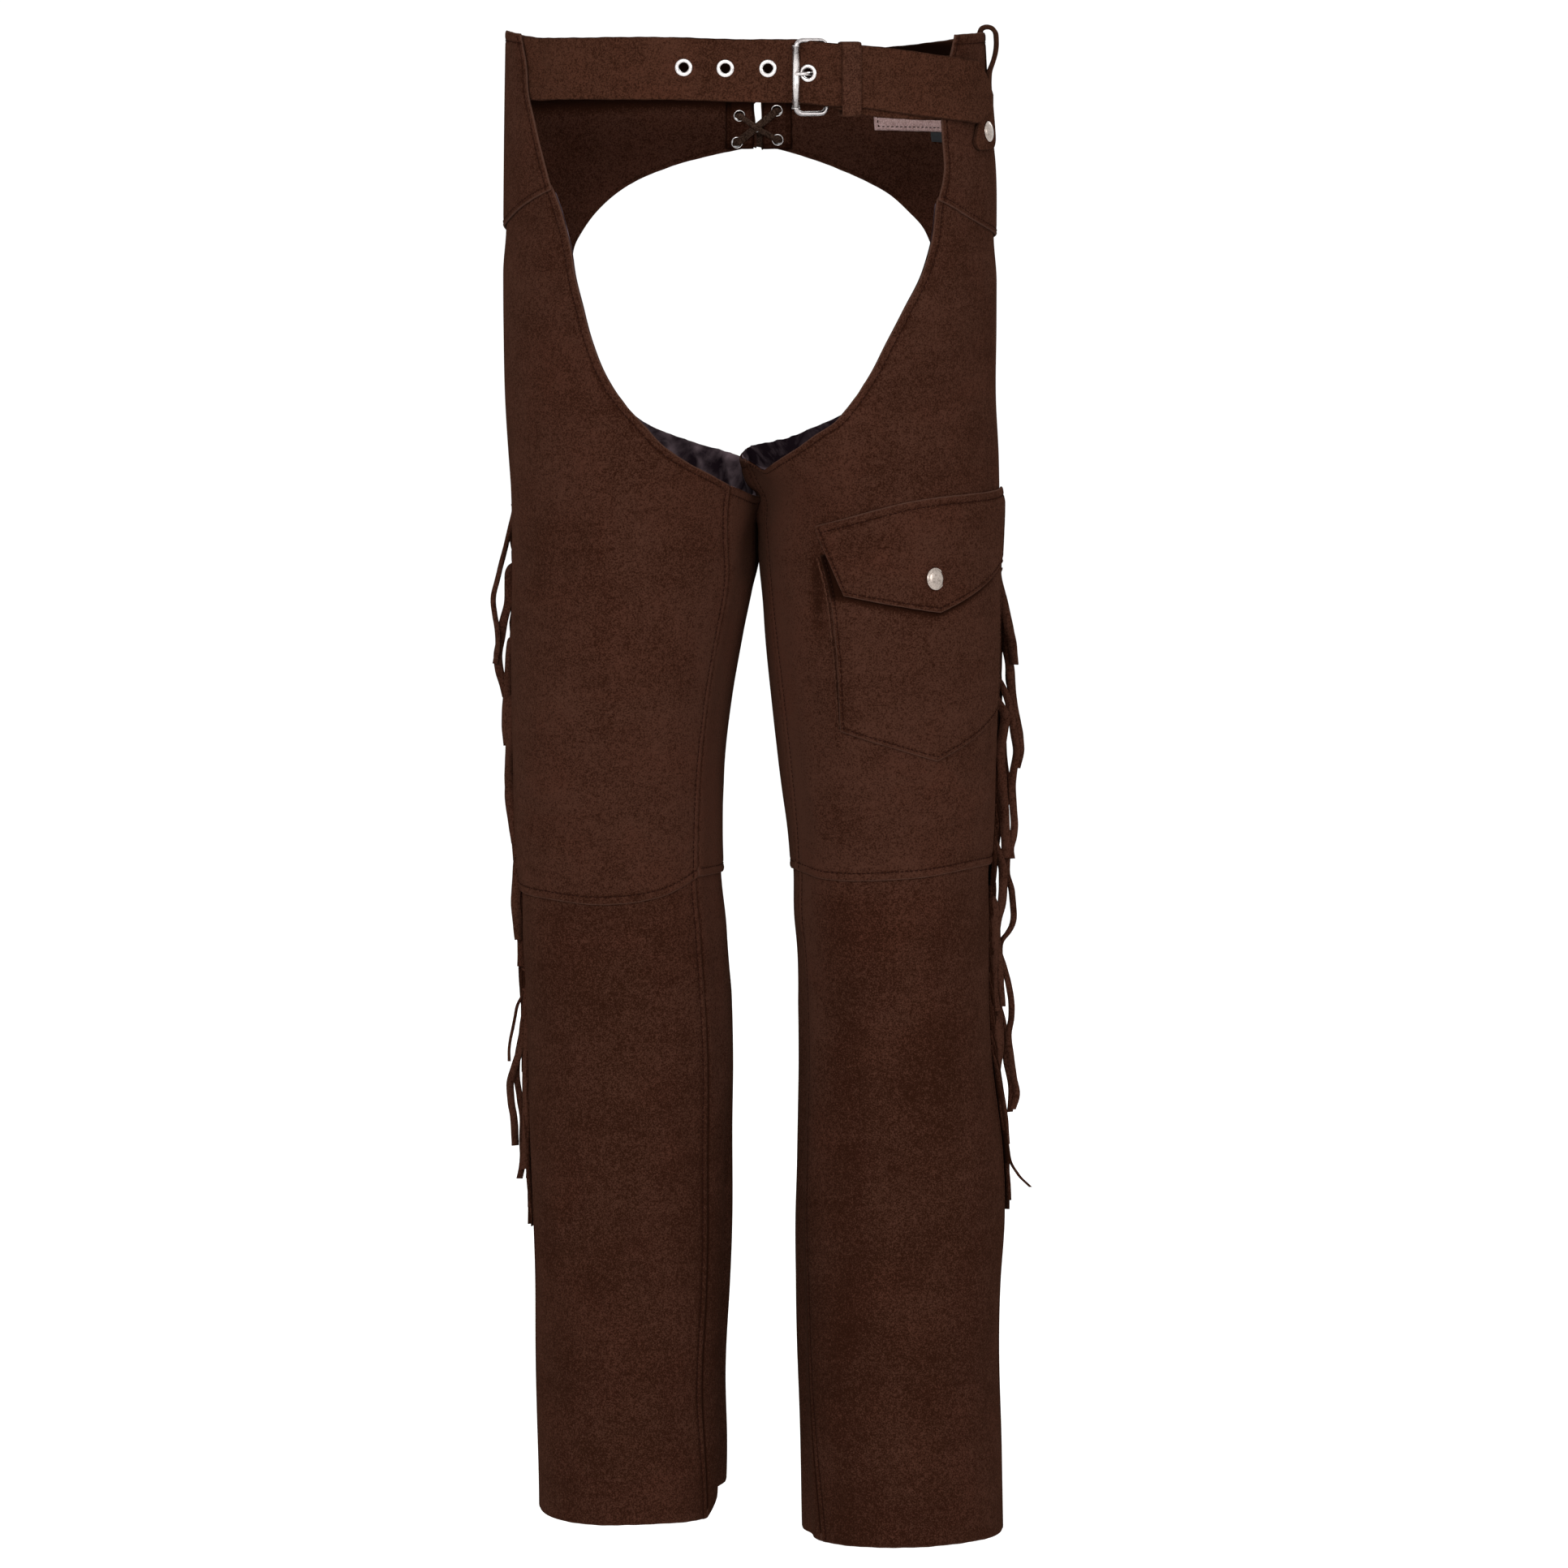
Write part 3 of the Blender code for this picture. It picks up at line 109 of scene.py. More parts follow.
# The legs' rings in millimetres from the middle of the waist.
RING_ROWS = (
    # height, right outer, right inner, left inner, left outer, front, back
    (0, -167, 161, -167, 161, 112, 106),
    (-55, -168, 164.5, -168, 164.5, 113, 111),
    (-90, -168.5, 168.5, -168.5, 168.5, 113, 117),
    (-140, -169, 150, -150, 169.3, 112, 124),
    (-200, -169, 90, -85, 169.3, 108, 126),
    (-250, -168, 45, -38, 169, 103, 120),
    (-290, -165.5, 17, -5, 171, 99, 111),
    (-312, -164, 8, 9.8, 171.5, 97, 106),
    (-337, -163.5, 4.2, 8, 172, 95, 102),
    (-370, -163.5, 3.5, 8, 172, 94, 99),
    (-413, -164.3, -4.4, 10.1, 171.6, 92, 96),
    (-458, -164.5, -12.3, 14.5, 170.6, 89, 92),
    (-503, -163.5, -17.4, 19.6, 169.6, 86, 88),
    (-548, -162.5, -17.8, 25.2, 168.5, 82, 85),
    (-593, -159.3, -16.4, 28, 165, 79, 82),
    (-638, -156.6, -14.2, 31.4, 164.3, 76, 82),
    (-707, -153.5, -11.6, 33.6, 167.3, 73, 84),
    (-775, -152, -12.0, 31.9, 174.5, 72, 86),
    (-820, -151, -12.6, 30.8, 176, 72, 87),
    (-866, -149.4, -13.8, 31.9, 174, 73, 87),
    (-934, -148.5, -16.5, 33.1, 173, 76, 87),
    (-980, -148.1, -16.2, 34.2, 174.2, 79, 87),
    (-1042, -147, -18.5, 36.5, 176.6, 83, 87),
)
SQUARENESS = 0.035  # how far a ring's corners stand out, as a share of its size
RINGS = np.array(RING_ROWS, float)[::-1] * MM

# Long soft folds down a leg, and two short bulges where the thighs meet: depth is positive inwards.
FOLD_ROWS = (
    # side, angle, half width in degrees, top, bottom, depth
    (RIGHT, 282, 9, -760, -1100, 5.0),
    (RIGHT, 300, 8, -380, -700, 1.6),
    (RIGHT, 262, 10, -560, -620, 3.0),
    (RIGHT, 170, 26, -560, -590, 4.0),
    (RIGHT, 205, 24, -610, -640, 3.0),
    (RIGHT, 256, 9, -345, -352, -5.0),
    (LEFT, 288, 9, -640, -1100, 3.6),
    (LEFT, 306, 8, -400, -620, 1.8),
    (LEFT, 262, 10, -570, -630, 3.0),
    (LEFT, 185, 26, -555, -585, 4.0),
    (LEFT, 150, 24, -605, -635, 3.0),
    (LEFT, 270, 10, -345, -352, -2.2),
)
FOLD_FADE = 45 * MM  # over which a fold runs out at its ends

# Wearing creases, each a short soft trough or ridge between two places on a leg.
CREASE_ROWS = (
    # side, angle, height, to angle, to height, half width, depth (negative stands out)
    (RIGHT, 238, -303, 266, -305, 12, 5.5),
    (RIGHT, 288, -330, 288, -380, 14, 3.4),
    (RIGHT, 284, -316, 268, -316, 9, -2.5),
    (RIGHT, 60, -58, 80, -100, 6, 0.8),
    (RIGHT, 62, -488, 34, -502, 5, -0.8),
    (RIGHT, 68, -512, 44, -530, 6, 0.9),
    (RIGHT, 40, -536, 8, -548, 8, 1.0),
    (RIGHT, 74, -556, 46, -540, 7, -0.9),
    (RIGHT, 20, -430, -12, -455, 12, 0.8),
    (RIGHT, -30, -552, -8, -532, 6, 0.9),
    (RIGHT, 70, -352, 40, -378, 13, 0.9),
    (RIGHT, 10, -620, 46, -640, 9, 1.3),
    (RIGHT, 62, -604, 30, -614, 7, -0.8),
    (RIGHT, 40, -668, 74, -690, 10, 1.1),
    (RIGHT, 16, -742, 52, -731, 10, -0.9),
    (RIGHT, 60, -826, 14, -842, 14, 1.5),
    (RIGHT, 30, -868, -16, -880, 12, 0.9),
    (RIGHT, 66, -932, 26, -940, 14, 1.2),
    (RIGHT, -6, -978, 40, -964, 12, -0.9),
    (RIGHT, 150, -420, 200, -436, 12, 3.4),
    (RIGHT, 240, -470, 205, -494, 10, 3.0),
    (RIGHT, 160, -534, 232, -548, 9, 4.1),
    (RIGHT, 130, -556, 190, -566, 7, -2.8),
    (RIGHT, 150, -606, 214, -618, 8, 4.4),
    (RIGHT, 236, -640, 180, -652, 10, 3.2),
    (RIGHT, 120, -680, 176, -700, 11, 2.8),
    (RIGHT, 150, -790, 214, -806, 14, 3.0),
    (RIGHT, 230, -900, 170, -922, 14, 2.8),
    (LEFT, 252, -308, 288, -306, 13, -9.5),
    (LEFT, 258, -324, 280, -330, 9, -5.0),
    (LEFT, 66, -86, 56, -124, 4, 0.9),
    (LEFT, 74, -92, 62, -128, 5, -0.7),
    (LEFT, 12, -556, 74, -540, 7, 1.5),
    (LEFT, 26, -536, 78, -522, 6, -1.0),
    (LEFT, -4, -540, 34, -548, 7, 0.9),
    (LEFT, 70, -500, 40, -514, 9, 0.8),
    (LEFT, -44, -420, -36, -488, 5, 0.9),
    (LEFT, -48, -502, -40, -556, 6, -0.8),
    (LEFT, 30, -290, 62, -306, 12, 0.8),
    (LEFT, 50, -208, 70, -240, 10, 0.8),
    (LEFT, 20, -612, 56, -604, 8, 1.1),
    (LEFT, 66, -640, 30, -652, 9, 1.0),
    (LEFT, 24, -676, 42, -702, 6, -0.8),
    (LEFT, -20, -722, 22, -742, 12, 1.0),
    (LEFT, 78, -806, 36, -822, 12, 1.4),
    (LEFT, -14, -846, 34, -862, 13, 1.0),
    (LEFT, 70, -914, 22, -930, 14, 1.2),
    (LEFT, 4, -980, 66, -972, 12, 1.2),
    (LEFT, 208, -416, 160, -432, 12, 3.4),
    (LEFT, 130, -472, 168, -490, 10, 2.8),
    (LEFT, 128, -540, 206, -528, 9, 4.1),
    (LEFT, 160, -560, 224, -566, 7, -2.5),
    (LEFT, 140, -604, 210, -620, 8, 4.1),
    (LEFT, 120, -648, 186, -640, 10, 3.2),
    (LEFT, 240, -690, 190, -706, 11, 2.8),
    (LEFT, 206, -800, 140, -786, 14, 3.0),
    (LEFT, 130, -912, 200, -926, 14, 2.8),
)
DEGREE = 1.35  # millimetres of cloth in a degree of a leg's ring

# Places on a leg's ring are (angle in degrees, height in millimetres). The angle runs from the
# middle of the front (0) over the outer side (90) and the back (180) to the inside (270).
SIDE_SEAM = {
    RIGHT: ((97, -136), (99, -300), (105, -450), (103, -590), (94, -700), (86, -800), (84, -1022)),
    LEFT: ((97, -141), (98, -400), (92, -573), (88, -750), (88, -1038)),
}
INSEAM = {
    RIGHT: ((-46, -305), (-50, -370), (-50, -450), (-47, -575), (-48, -800), (-48, -950), (-53, -1022)),
    LEFT: ((-76, -291), (-78, -320), (-71, -348), (-65, -400), (-64, -480), (-66, -573), (-66, -760),
           (-62, -900), (-52, -1038)),
}
YOKE_SEAM_FRONT = {
    RIGHT: ((50.5, -104), (60, -113), (76, -127), (97, -136)),
    LEFT: ((47, -111), (64, -128), (80, -136), (97, -141)),
}
YOKE_SEAM_BACK = {
    RIGHT: ((97, -136), (117, -147), (137, -163)),
    LEFT: ((97, -141), (116, -150), (134, -162)),
}
FRONT_OPENING = {
    RIGHT: ((-46, -306), (-34, -298), (-20, -288), (-6, -274.5), (2.4, -263), (12, -249), (22.7, -227),
            (29.7, -205.5), (35, -183.5), (39.7, -162), (42.6, -142), (46.5, -120.5), (50.5, -104)),
    LEFT: ((-76, -291), (-72, -294), (-66, -298), (-58, -296), (-46.4, -290), (-31, -280), (-17, -268.5),
           (-7.4, -260.5), (1.3, -249), (13.6, -227), (22.7, -205), (31, -183.5), (38.7, -162),
           (43.6, -140), (47, -111)),
}
BACK_OPENING = {
    RIGHT: ((314, -306), (298, -313), (282, -317), (268, -316), (256, -311), (244, -304), (231, -298),
            (217, -294.5), (203, -290), (190.5, -284.5), (178.5, -277), (167, -264), (157, -246),
            (149, -223), (142, -194), (137, -163)),
    LEFT: ((284, -291), (274, -290.5), (262, -289.5), (246, -288.5), (230, -288), (214, -285), (203, -280),
           (194, -275.5), (180, -266), (168, -253), (157, -235), (147, -211), (139, -186), (134, -162)),
}
KNEE_FRONT = {
    RIGHT: ((-47, -575), (-25, -586), (8, -592), (45, -590), (103, -590)),
    LEFT: ((-66, -573), (-40, -576), (10, -574), (50, -570), (92, -573)),
}
KNEE_BACK = {
    RIGHT: ((103, -590), (155, -588), (220, -580), (313, -575)),
    LEFT: ((92, -573), (150, -576), (220, -578), (294, -573)),
}
HEM_FRONT = {
    RIGHT: ((-53, -1022), (-20, -1021), (30, -1022), (84, -1022)),
    LEFT: ((-52, -1038), (-10, -1037), (40, -1036), (88, -1038)),
}
HEM_BACK = {
    RIGHT: ((84, -1022), (150, -1021), (220, -1012), (268, -1006), (292, -1011), (307, -1022)),
    LEFT: ((88, -1038), (150, -1038), (220, -1038), (308, -1038)),
}
SEAM_HALF = 0.1  # degrees of a ring left free on each side of an upright seam
KNEE_LAP, YOKE_LAP, BACK_TUCK = 9 * MM, 8 * MM, 3.5 * MM  # how far a sheet goes on under the next
YOKE_DIP, KNEE_DIP = 32 * MM, 40 * MM  # the height over which the lower sheet dips under the upper one
YOKE_SHARE = 0.25  # share of a back thigh panel's columns that lie below the yoke
OPENING_SHARE = 0.44  # share of a front thigh panel's rows that lie below the front opening
STITCH_INSET = 5.5 * MM  # from an edge to its row of topstitching


def smooth(x, knots, values):
    """A value at x on a smooth curve through rising knots, level past its ends."""
    knots, values = np.asarray(knots, float), np.asarray(values, float)
    slopes = np.gradient(values, knots)
    i = np.clip(np.searchsorted(knots, x) - 1, 0, len(knots) - 2)
    span = knots[i + 1] - knots[i]
    t = np.clip((x - knots[i]) / span, 0, 1)
    return (
        (1 + 2 * t) * (1 - t) ** 2 * values[i]
        + t * (1 - t) ** 2 * span * slopes[i]
        + t * t * (3 - 2 * t) * values[i + 1]
        + t * t * (t - 1) * span * slopes[i + 1]
    )


def ramp(x, start, end):
    """0 at start, 1 at end, with soft ends."""
    t = np.clip((x - start) / (end - start), 0, 1)
    return t * t * (3 - 2 * t)


def fold_depth(side, angle, height):
    """How far the folds and creases push the cloth inwards at a place."""
    angle, height = np.broadcast_arrays(np.asarray(angle, float), np.asarray(height, float))
    depth = np.zeros(angle.shape)
    for fold_side, centre, width, top, bottom, deep in FOLD_ROWS:
        if fold_side == side:
            turn = (angle - centre + 180) % 360 - 180
            along = ramp(height, bottom * MM - FOLD_FADE, bottom * MM)
            along = along * ramp(height, top * MM + FOLD_FADE, top * MM)
            depth += deep * MM * np.exp(-((turn / width) ** 2)) * along
    for crease_side, angle_a, height_a, angle_b, height_b, width, deep in CREASE_ROWS:
        if crease_side != side:
            continue
        turn = (angle - (angle_a + angle_b) / 2 + 180) % 360 - 180
        x, y = turn * DEGREE, height / MM - (height_a + height_b) / 2
        along = np.array([(angle_b - angle_a) * DEGREE, height_b - height_a])
        reach = np.hypot(*along) / 2
        along /= 2 * reach
        t = (x * along[0] + y * along[1]) / reach
        bow = 0.12 * reach * (1 - t * t)  # a crease is a little curved
        across = (x * along[1] - y * along[0] + bow) / width
        depth += deep * MM * np.exp(-(across**2) - np.maximum(np.abs(t) - 0.35, 0) ** 2 * 4)
    # Slow swells of worn leather, faded out at the waist, where the belt and yokes lie close.
    turn = np.radians(angle)
    swell = np.sin(3 * turn + 21 * height + side) * np.sin(17 * height + 2 * np.sin(2 * turn))
    swell += 0.6 * np.sin(5 * turn - 34 * height + 2 * side)
    return depth + 0.55 * MM * swell * ramp(-height, 0.16, 0.26)


def ring(side, angle, height):
    """Points of a leg's surface; angle in degrees, height in metres, both arrays or numbers."""
    column = (1, 2) if side == RIGHT else (4, 3)
    outer, inner, front, back = (smooth(height, RINGS[:, 0], RINGS[:, c]) for c in (*column, 5, 6))
    turn = np.radians(angle)
    size = 1 + SQUARENESS * np.sin(2 * turn) ** 2
    reach = np.where(np.cos(turn) > 0, front, back)
    x = (outer + inner) / 2 + (outer - inner) / 2 * np.sin(turn) * size
    y = -reach * np.cos(turn) * size
    return np.stack(np.broadcast_arrays(x, y, height), axis=-1)


def surface(side, angle, height, out=0.0):
    """Points of a leg's surface moved out along its normal."""
    angle, height = np.asarray(angle, float), np.asarray(height, float)
    along = ring(side, angle + 0.2, height) - ring(side, angle - 0.2, height)
    up = ring(side, angle, height + MM) - ring(side, angle, height - MM)
    normal = side * np.cross(along, up)
    normal /= np.linalg.norm(normal, axis=-1, keepdims=True)
    out = np.asarray(out) - fold_depth(side, angle, height)
    return ring(side, angle, height) + normal * out[..., None]


def steps(length, cell, fine=True):
    """Shares of a length at which a cut panel gets a line of points, closer beside its edges."""
    beside = np.array((0, 0.6, 1.5, 3.0, 4.4, 5.1, 5.9, 6.6, 8.0)) * MM / length
    if not fine or beside[-1] > 0.3:
        return np.linspace(0, 1, max(3, round(length / cell) + 1))
    between = np.linspace(beside[-1], 1 - beside[-1], max(3, round(length / cell)))
    return np.concatenate([beside, between[1:-1], 1 - beside[::-1]])


def run(places, shares, straight=False):
    """Places at shares of the way along a line through (angle, height in mm) places."""
    places = np.array(places, float) * (1, MM)
    parts = np.diff(places, axis=0) * (1.5 * MM, 1)
    length = np.concatenate([[0], np.cumsum(np.hypot(*parts.T))])
    follow = np.interp if straight or len(places) < 3 else smooth
    at = np.asarray(shares) * length[-1]
    return np.stack([follow(at, length, places[:, 0]), follow(at, length, places[:, 1])], -1)


def upright(seam, low, high, shares, move):
    """Places at shares of the height up a seam, from low to high in millimetres."""
    seam = np.array(sorted(seam, key=lambda place: place[1]), float)
    heights = low + (high - low) * np.asarray(shares)
    return np.stack([smooth(heights, seam[:, 1], seam[:, 0]) + move, heights * MM], -1)


def patch(left, right, bottom, top, u):
    """Rows of places that fill four edges; u holds the columns' shares of the width."""
    v = ((left[:, 1] - left[0, 1]) / (left[-1, 1] - left[0, 1]))[:, None, None]
    u = u[None, :, None]
    across = (1 - u) * left[:, None] + u * right[:, None]
    along = (1 - v) * bottom[None] + v * top[None]
    low = (1 - u) * left[0] + u * right[0]
    high = (1 - u) * left[-1] + u * right[-1]
    return across + along - (1 - v) * low - v * high


def travel(points, axis):
    """Way along a grid of points from its first line, and back from its last line."""
    step = np.linalg.norm(np.diff(points, axis=axis), axis=-1)
    gone = np.cumsum(step, axis=axis)
    zero = np.zeros_like(np.take(gone, [0], axis=axis))
    gone = np.concatenate([zero, gone], axis=axis)
    return gone, np.take(gone, [-1], axis=axis) - gone


def mesh_object(name, points, faces, attributes=()):
    """A mesh object with float attributes on its points and its faces turned outwards."""
    mesh = bpy.data.meshes.new(name)
    mesh.from_pydata([tuple(p) for p in np.asarray(points)], [], faces)
    for attribute, values in attributes:
        layer = mesh.attributes.new(attribute, "FLOAT", "POINT")
        layer.data.foreach_set("value", np.asarray(values, np.float32))
    work = bmesh.new()
    work.from_mesh(mesh)
    bmesh.ops.recalc_face_normals(work, faces=work.faces)
    if work.calc_volume(signed=True) < 0:  # recalculating can turn a short tube inside out
        bmesh.ops.reverse_faces(work, faces=work.faces)
    work.to_mesh(mesh)
    work.free()
    mesh.shade_smooth()
    made = bpy.data.objects.new(name, mesh)
    bpy.context.collection.objects.link(made)
    return made


# The rows of points that the topstitching follows, for each group of pieces.
stitch_rows = {"leg": [], "yoke": [], "pocket": [], "label": []}


def stitch_along(kind, points, edge, inset, trim=3 * MM):
    """Adds the row of topstitching that runs at an inset from one edge of a grid of points."""
    axis = 1 if edge in ("left", "right") else 0
    near, far = travel(points, axis)
    way = near if edge in ("left", "bottom") else far
    row = []
    for i in range(points.shape[1 - axis]):
        line, gone = (points[i], way[i]) if axis == 1 else (points[:, i], way[:, i])
        order = np.argsort(gone)
        row.append([np.interp(inset, gone[order], line[order, c]) for c in range(3)])
    row = np.array(row)
    length = travel(row, 0)[0]
    stitch_rows[kind].append(row[(length >= trim) & (length <= length[-1] - trim)])


def shell(name, outer, inner, tone=0.0, ragged=0.25 * MM, whole=False, shade=0.0):
    """A cut sheet between two equal grids of points, with a rounded and slightly uneven cut edge.

    Where whole is true its edge is sewn to the next panel, so it doesn't fray. shade is added to
    the inner face's tone.
    """
    rows, columns = outer.shape[:2]
    rim = [(0, c) for c in range(columns)] + [(r, columns - 1) for r in range(1, rows)]
    rim += [(rows - 1, c) for c in range(columns - 2, -1, -1)] + [(r, 0) for r in range(rows - 2, 0, -1)]
    r_rim, c_rim = np.array(rim).T
    middle = (outer + inner) / 2
    outwards = middle[r_rim, c_rim] - middle[np.clip(r_rim, 1, rows - 2), np.clip(c_rim, 1, columns - 2)]
    outwards /= np.linalg.norm(outwards, axis=1, keepdims=True)
    loop = middle[r_rim, c_rim]
    gone = np.cumsum(np.linalg.norm(np.roll(loop, -1, 0) - loop, axis=1)) / MM
    wander = (np.sin(gone / 1.9) + np.sin(gone / 4.3 + 1) + np.sin(gone / 11)) / 3
    loop = loop + outwards * (0.25 * MM + ragged * wander)[:, None]
    count = rows * columns
    r, c = np.meshgrid(np.arange(rows - 1), np.arange(columns - 1), indexing="ij")
    a = (r * columns + c).ravel()
    quads = np.stack([a, a + 1, a + columns + 1, a + columns], -1)
    faces = quads.tolist() + (quads[:, ::-1] + count).tolist()
    around = [row * columns + column for row, column in rim]
    for i, corner in enumerate(around):
        n = (i + 1) % len(around)
        faces.append((around[n], corner, 2 * count + i, 2 * count + n))
        faces.append((2 * count + n, 2 * count + i, count + corner, count + around[n]))
    edge = np.minimum.reduce([*travel(middle, 0), *travel(middle, 1)]) / MM
    tone = tone - np.where(whole, 0.75, 0) * np.exp(-((edge / 1.1) ** 2))
    edge = np.where(whole, 9, edge).ravel()
    tone, shade = (np.broadcast_to(values, (rows, columns)).ravel() for values in (tone, shade))
    attributes = (
        ("edge", np.concatenate([edge, edge, edge[around]])),
        ("tone", np.concatenate([tone, tone + shade, tone[around]])),
    )
    points = np.concatenate([outer.reshape(-1, 3), inner.reshape(-1, 3), loop])
    return mesh_object(name, points, faces, attributes)


def sewn(flat, stitched):
    """Relief of a sheet's outer face: soft edges, and a puckered channel under each stitch row."""
    left, right = travel(flat, 1)
    bottom, top = travel(flat, 0)
    ways = {"left": left, "right": right, "bottom": bottom, "top": top}
    edge = np.minimum.reduce(list(ways.values()))
    relief = -0.4 * MM * np.exp(-((edge / (0.7 * MM)) ** 2))
    pull = 0.8 + 0.2 * np.sin(flat.sum(axis=-1) / (1.6 * MM))
    for name, inset in stitched.items():
        relief = relief - 0.5 * MM * pull * np.exp(-(((ways[name] - inset) / (1.1 * MM)) ** 2))
        relief = relief + 0.25 * MM * np.exp(-(((ways[name] - 0.45 * inset) / (0.3 * inset)) ** 2))
    return relief


def cut_sheet(name, at, places, out=0.0, thick=SUEDE, stitched=None, tone=0.0, kind="leg", **more):
    """A cut sheet on a surface; at gives the points for two coordinates and a way out.

    stitched gives, for each edge that is topstitched, how far in the stitches run.
    """
    a, b = places[..., 0], places[..., 1]
    out = np.broadcast_to(out, a.shape)
    flat = at(a, b, out)
    outer = at(a, b, out + sewn(flat, stitched or {}))
    ways = dict(zip(("bottom", "top", "left", "right"), (*travel(flat, 0), *travel(flat, 1))))
    for edge, inset in (stitched or {}).items():
        stitch_along(kind, outer, edge, inset)
        # The suede is painted darker along each stitch row: painted shade in the sunk channel, with the
        # darker colour of the nap that the stitches press down.
        tone = tone - 0.5 * np.exp(-(((ways[edge] - inset) / (0.9 * MM)) ** 2))
    return shell(name, outer, at(a, b, out - thick), tone, **more), flat


def put(tree, socket, value):
    """Links a socket to another, or gives it a value."""
    if isinstance(value, bpy.types.NodeSocket):
        tree.links.new(value, socket)
    else:
        socket.default_value = value


def node(tree, kind, **inputs):
    """A shader or geometry node with values or links put into its named inputs."""
    made = tree.nodes.new(kind)
    for name, value in inputs.items():
        put(tree, made.inputs[name], value)
    return made


def mixed(tree, share, a, b):
    """A colour or socket between two, by a share that is a number or a socket."""
    made = tree.nodes.new("ShaderNodeMix")
    made.data_type = "RGBA"
    put(tree, made.inputs[0], share)
    for socket, colour in ((made.inputs[6], a), (made.inputs[7], b)):
        put(tree, socket, colour if isinstance(colour, bpy.types.NodeSocket) else (*colour, 1))
    return made.outputs[2]


def sums(tree, kind, a, b, clamp=False):
    """A sum, product or other working of two numbers or sockets."""
    made = tree.nodes.new("ShaderNodeMath")
    made.operation, made.use_clamp = kind, clamp
    for socket, value in zip(made.inputs, (a, b)):
        put(tree, socket, value)
    return made.outputs[0]


def spread(tree, value, low, high, to_low=0.0, to_high=1.0):
    """A value moved from one range to another and held inside it."""
    made = node(tree, "ShaderNodeMapRange", Value=value)
    for number, limit in enumerate((low, high, to_low, to_high), 1):
        made.inputs[number].default_value = limit
    return made.outputs[0]


def noise(tree, place, scale, detail=3.0, rough=0.6, stretch=None, warp=0.0):
    """Noise at a scale in bumps for each metre, stretched along an axis if asked."""
    if stretch:
        mapped = node(tree, "ShaderNodeMapping", Vector=place)
        mapped.inputs["Scale"].default_value = stretch
        place = mapped.outputs[0]
    made = node(tree, "ShaderNodeTexNoise", Vector=place, Scale=scale, Detail=detail, Roughness=rough)
    made.inputs["Distortion"].default_value = warp
    return made.outputs["Fac"]


def attribute(tree, name):
    """A value that a mesh's points carry."""
    made = tree.nodes.new("ShaderNodeAttribute")
    made.attribute_name = name
    return made.outputs["Fac"]


def shader(name, rough, metallic=0.0):
    """A new material: its tree, its Principled shader and its Object coordinates."""
    made = bpy.data.materials.new(name)
    made.use_nodes = True
    tree = made.node_tree
    principled = tree.nodes["Principled BSDF"]
    principled.inputs["Roughness"].default_value = rough
    principled.inputs["Metallic"].default_value = metallic
    return made, tree, principled, tree.nodes.new("ShaderNodeTexCoord").outputs["Object"]


def brushed_suede(name, dark, light, with_attributes=True, cut=(0.056, 0.029, 0.021)):
    """Brushed split leather: a mottled nap with a fine grain and reddish, rubbed patches.

    With attributes, its cut edges fray to a colour of their own, and it goes paler or darker with
    the tone that its points carry, down to nearly black where no light gets in.
    """
    made, tree, principled, place = shader(name, 0.94)
    cloud = noise(tree, place, 21, 5, 0.62, warp=0.5)
    brushed = noise(tree, place, 42, 4, 0.65, stretch=(1, 1, 0.45), warp=0.4)
    strokes = noise(tree, place, 60, 3, 0.6, stretch=(0.35, 0.35, 1.5))
    speckle = noise(tree, place, 330, 3, 0.75)
    fibre = noise(tree, place, 1000, 2, 0.8)
    share = sums(tree, "ADD", spread(tree, cloud, 0.3, 0.7, -0.20, 0.20), 0.5)
    for texture, reach in ((brushed, 0.11), (strokes, 0.12), (speckle, 0.36), (fibre, 0.95)):
        share = sums(tree, "ADD", share, spread(tree, texture, 0.3, 0.7, -reach, reach))
    if with_attributes:
        share = sums(tree, "ADD", share, attribute(tree, "tone"))
    share = sums(tree, "MAXIMUM", sums(tree, "MINIMUM", share, 1.4), 0)
    colour = mixed(tree, share, dark, light)
    rust = spread(tree, noise(tree, place, 14, 4, 0.6, warp=0.8), 0.45, 0.75, 0, 0.5)
    reddish = mixed(tree, share, dark, tuple(c * more for c, more in zip(light, (1.06, 0.82, 0.76))))
    colour = mixed(tree, rust, colour, reddish)
    if with_attributes:
        frayed = sums(tree, "ADD", attribute(tree, "edge"), spread(tree, speckle, 0.3, 0.7, -0.35, 0.35))
        colour = mixed(tree, spread(tree, frayed, 0.1, 0.9, 0.5, 0), colour, cut)
        deep = spread(tree, attribute(tree, "tone"), -1.5, -0.4, 0.9, 0)
        colour = mixed(tree, deep, colour, tuple(0.1 * c for c in dark))
    tree.links.new(colour, principled.inputs["Base Color"])
    principled.inputs["Specular IOR Level"].default_value = 0
    principled.inputs["Sheen Weight"].default_value = 0.02
    principled.inputs["Sheen Roughness"].default_value = 0.6
    principled.inputs["Sheen Tint"].default_value = (0.50, 0.28, 0.19, 1)
    height = sums(tree, "ADD", sums(tree, "MULTIPLY", fibre, 0.6), speckle)
    height = sums(tree, "ADD", height, sums(tree, "MULTIPLY", noise(tree, place, 120, 3, 0.6), 0.8))
    bump = node(tree, "ShaderNodeBump", Strength=0.7, Distance=0.0007, Height=height)
    tree.links.new(bump.outputs[0], principled.inputs["Normal"])
    return made


suede = brushed_suede("brown_suede", (0.0125, 0.0040, 0.0021), (0.0350, 0.0141, 0.0090))


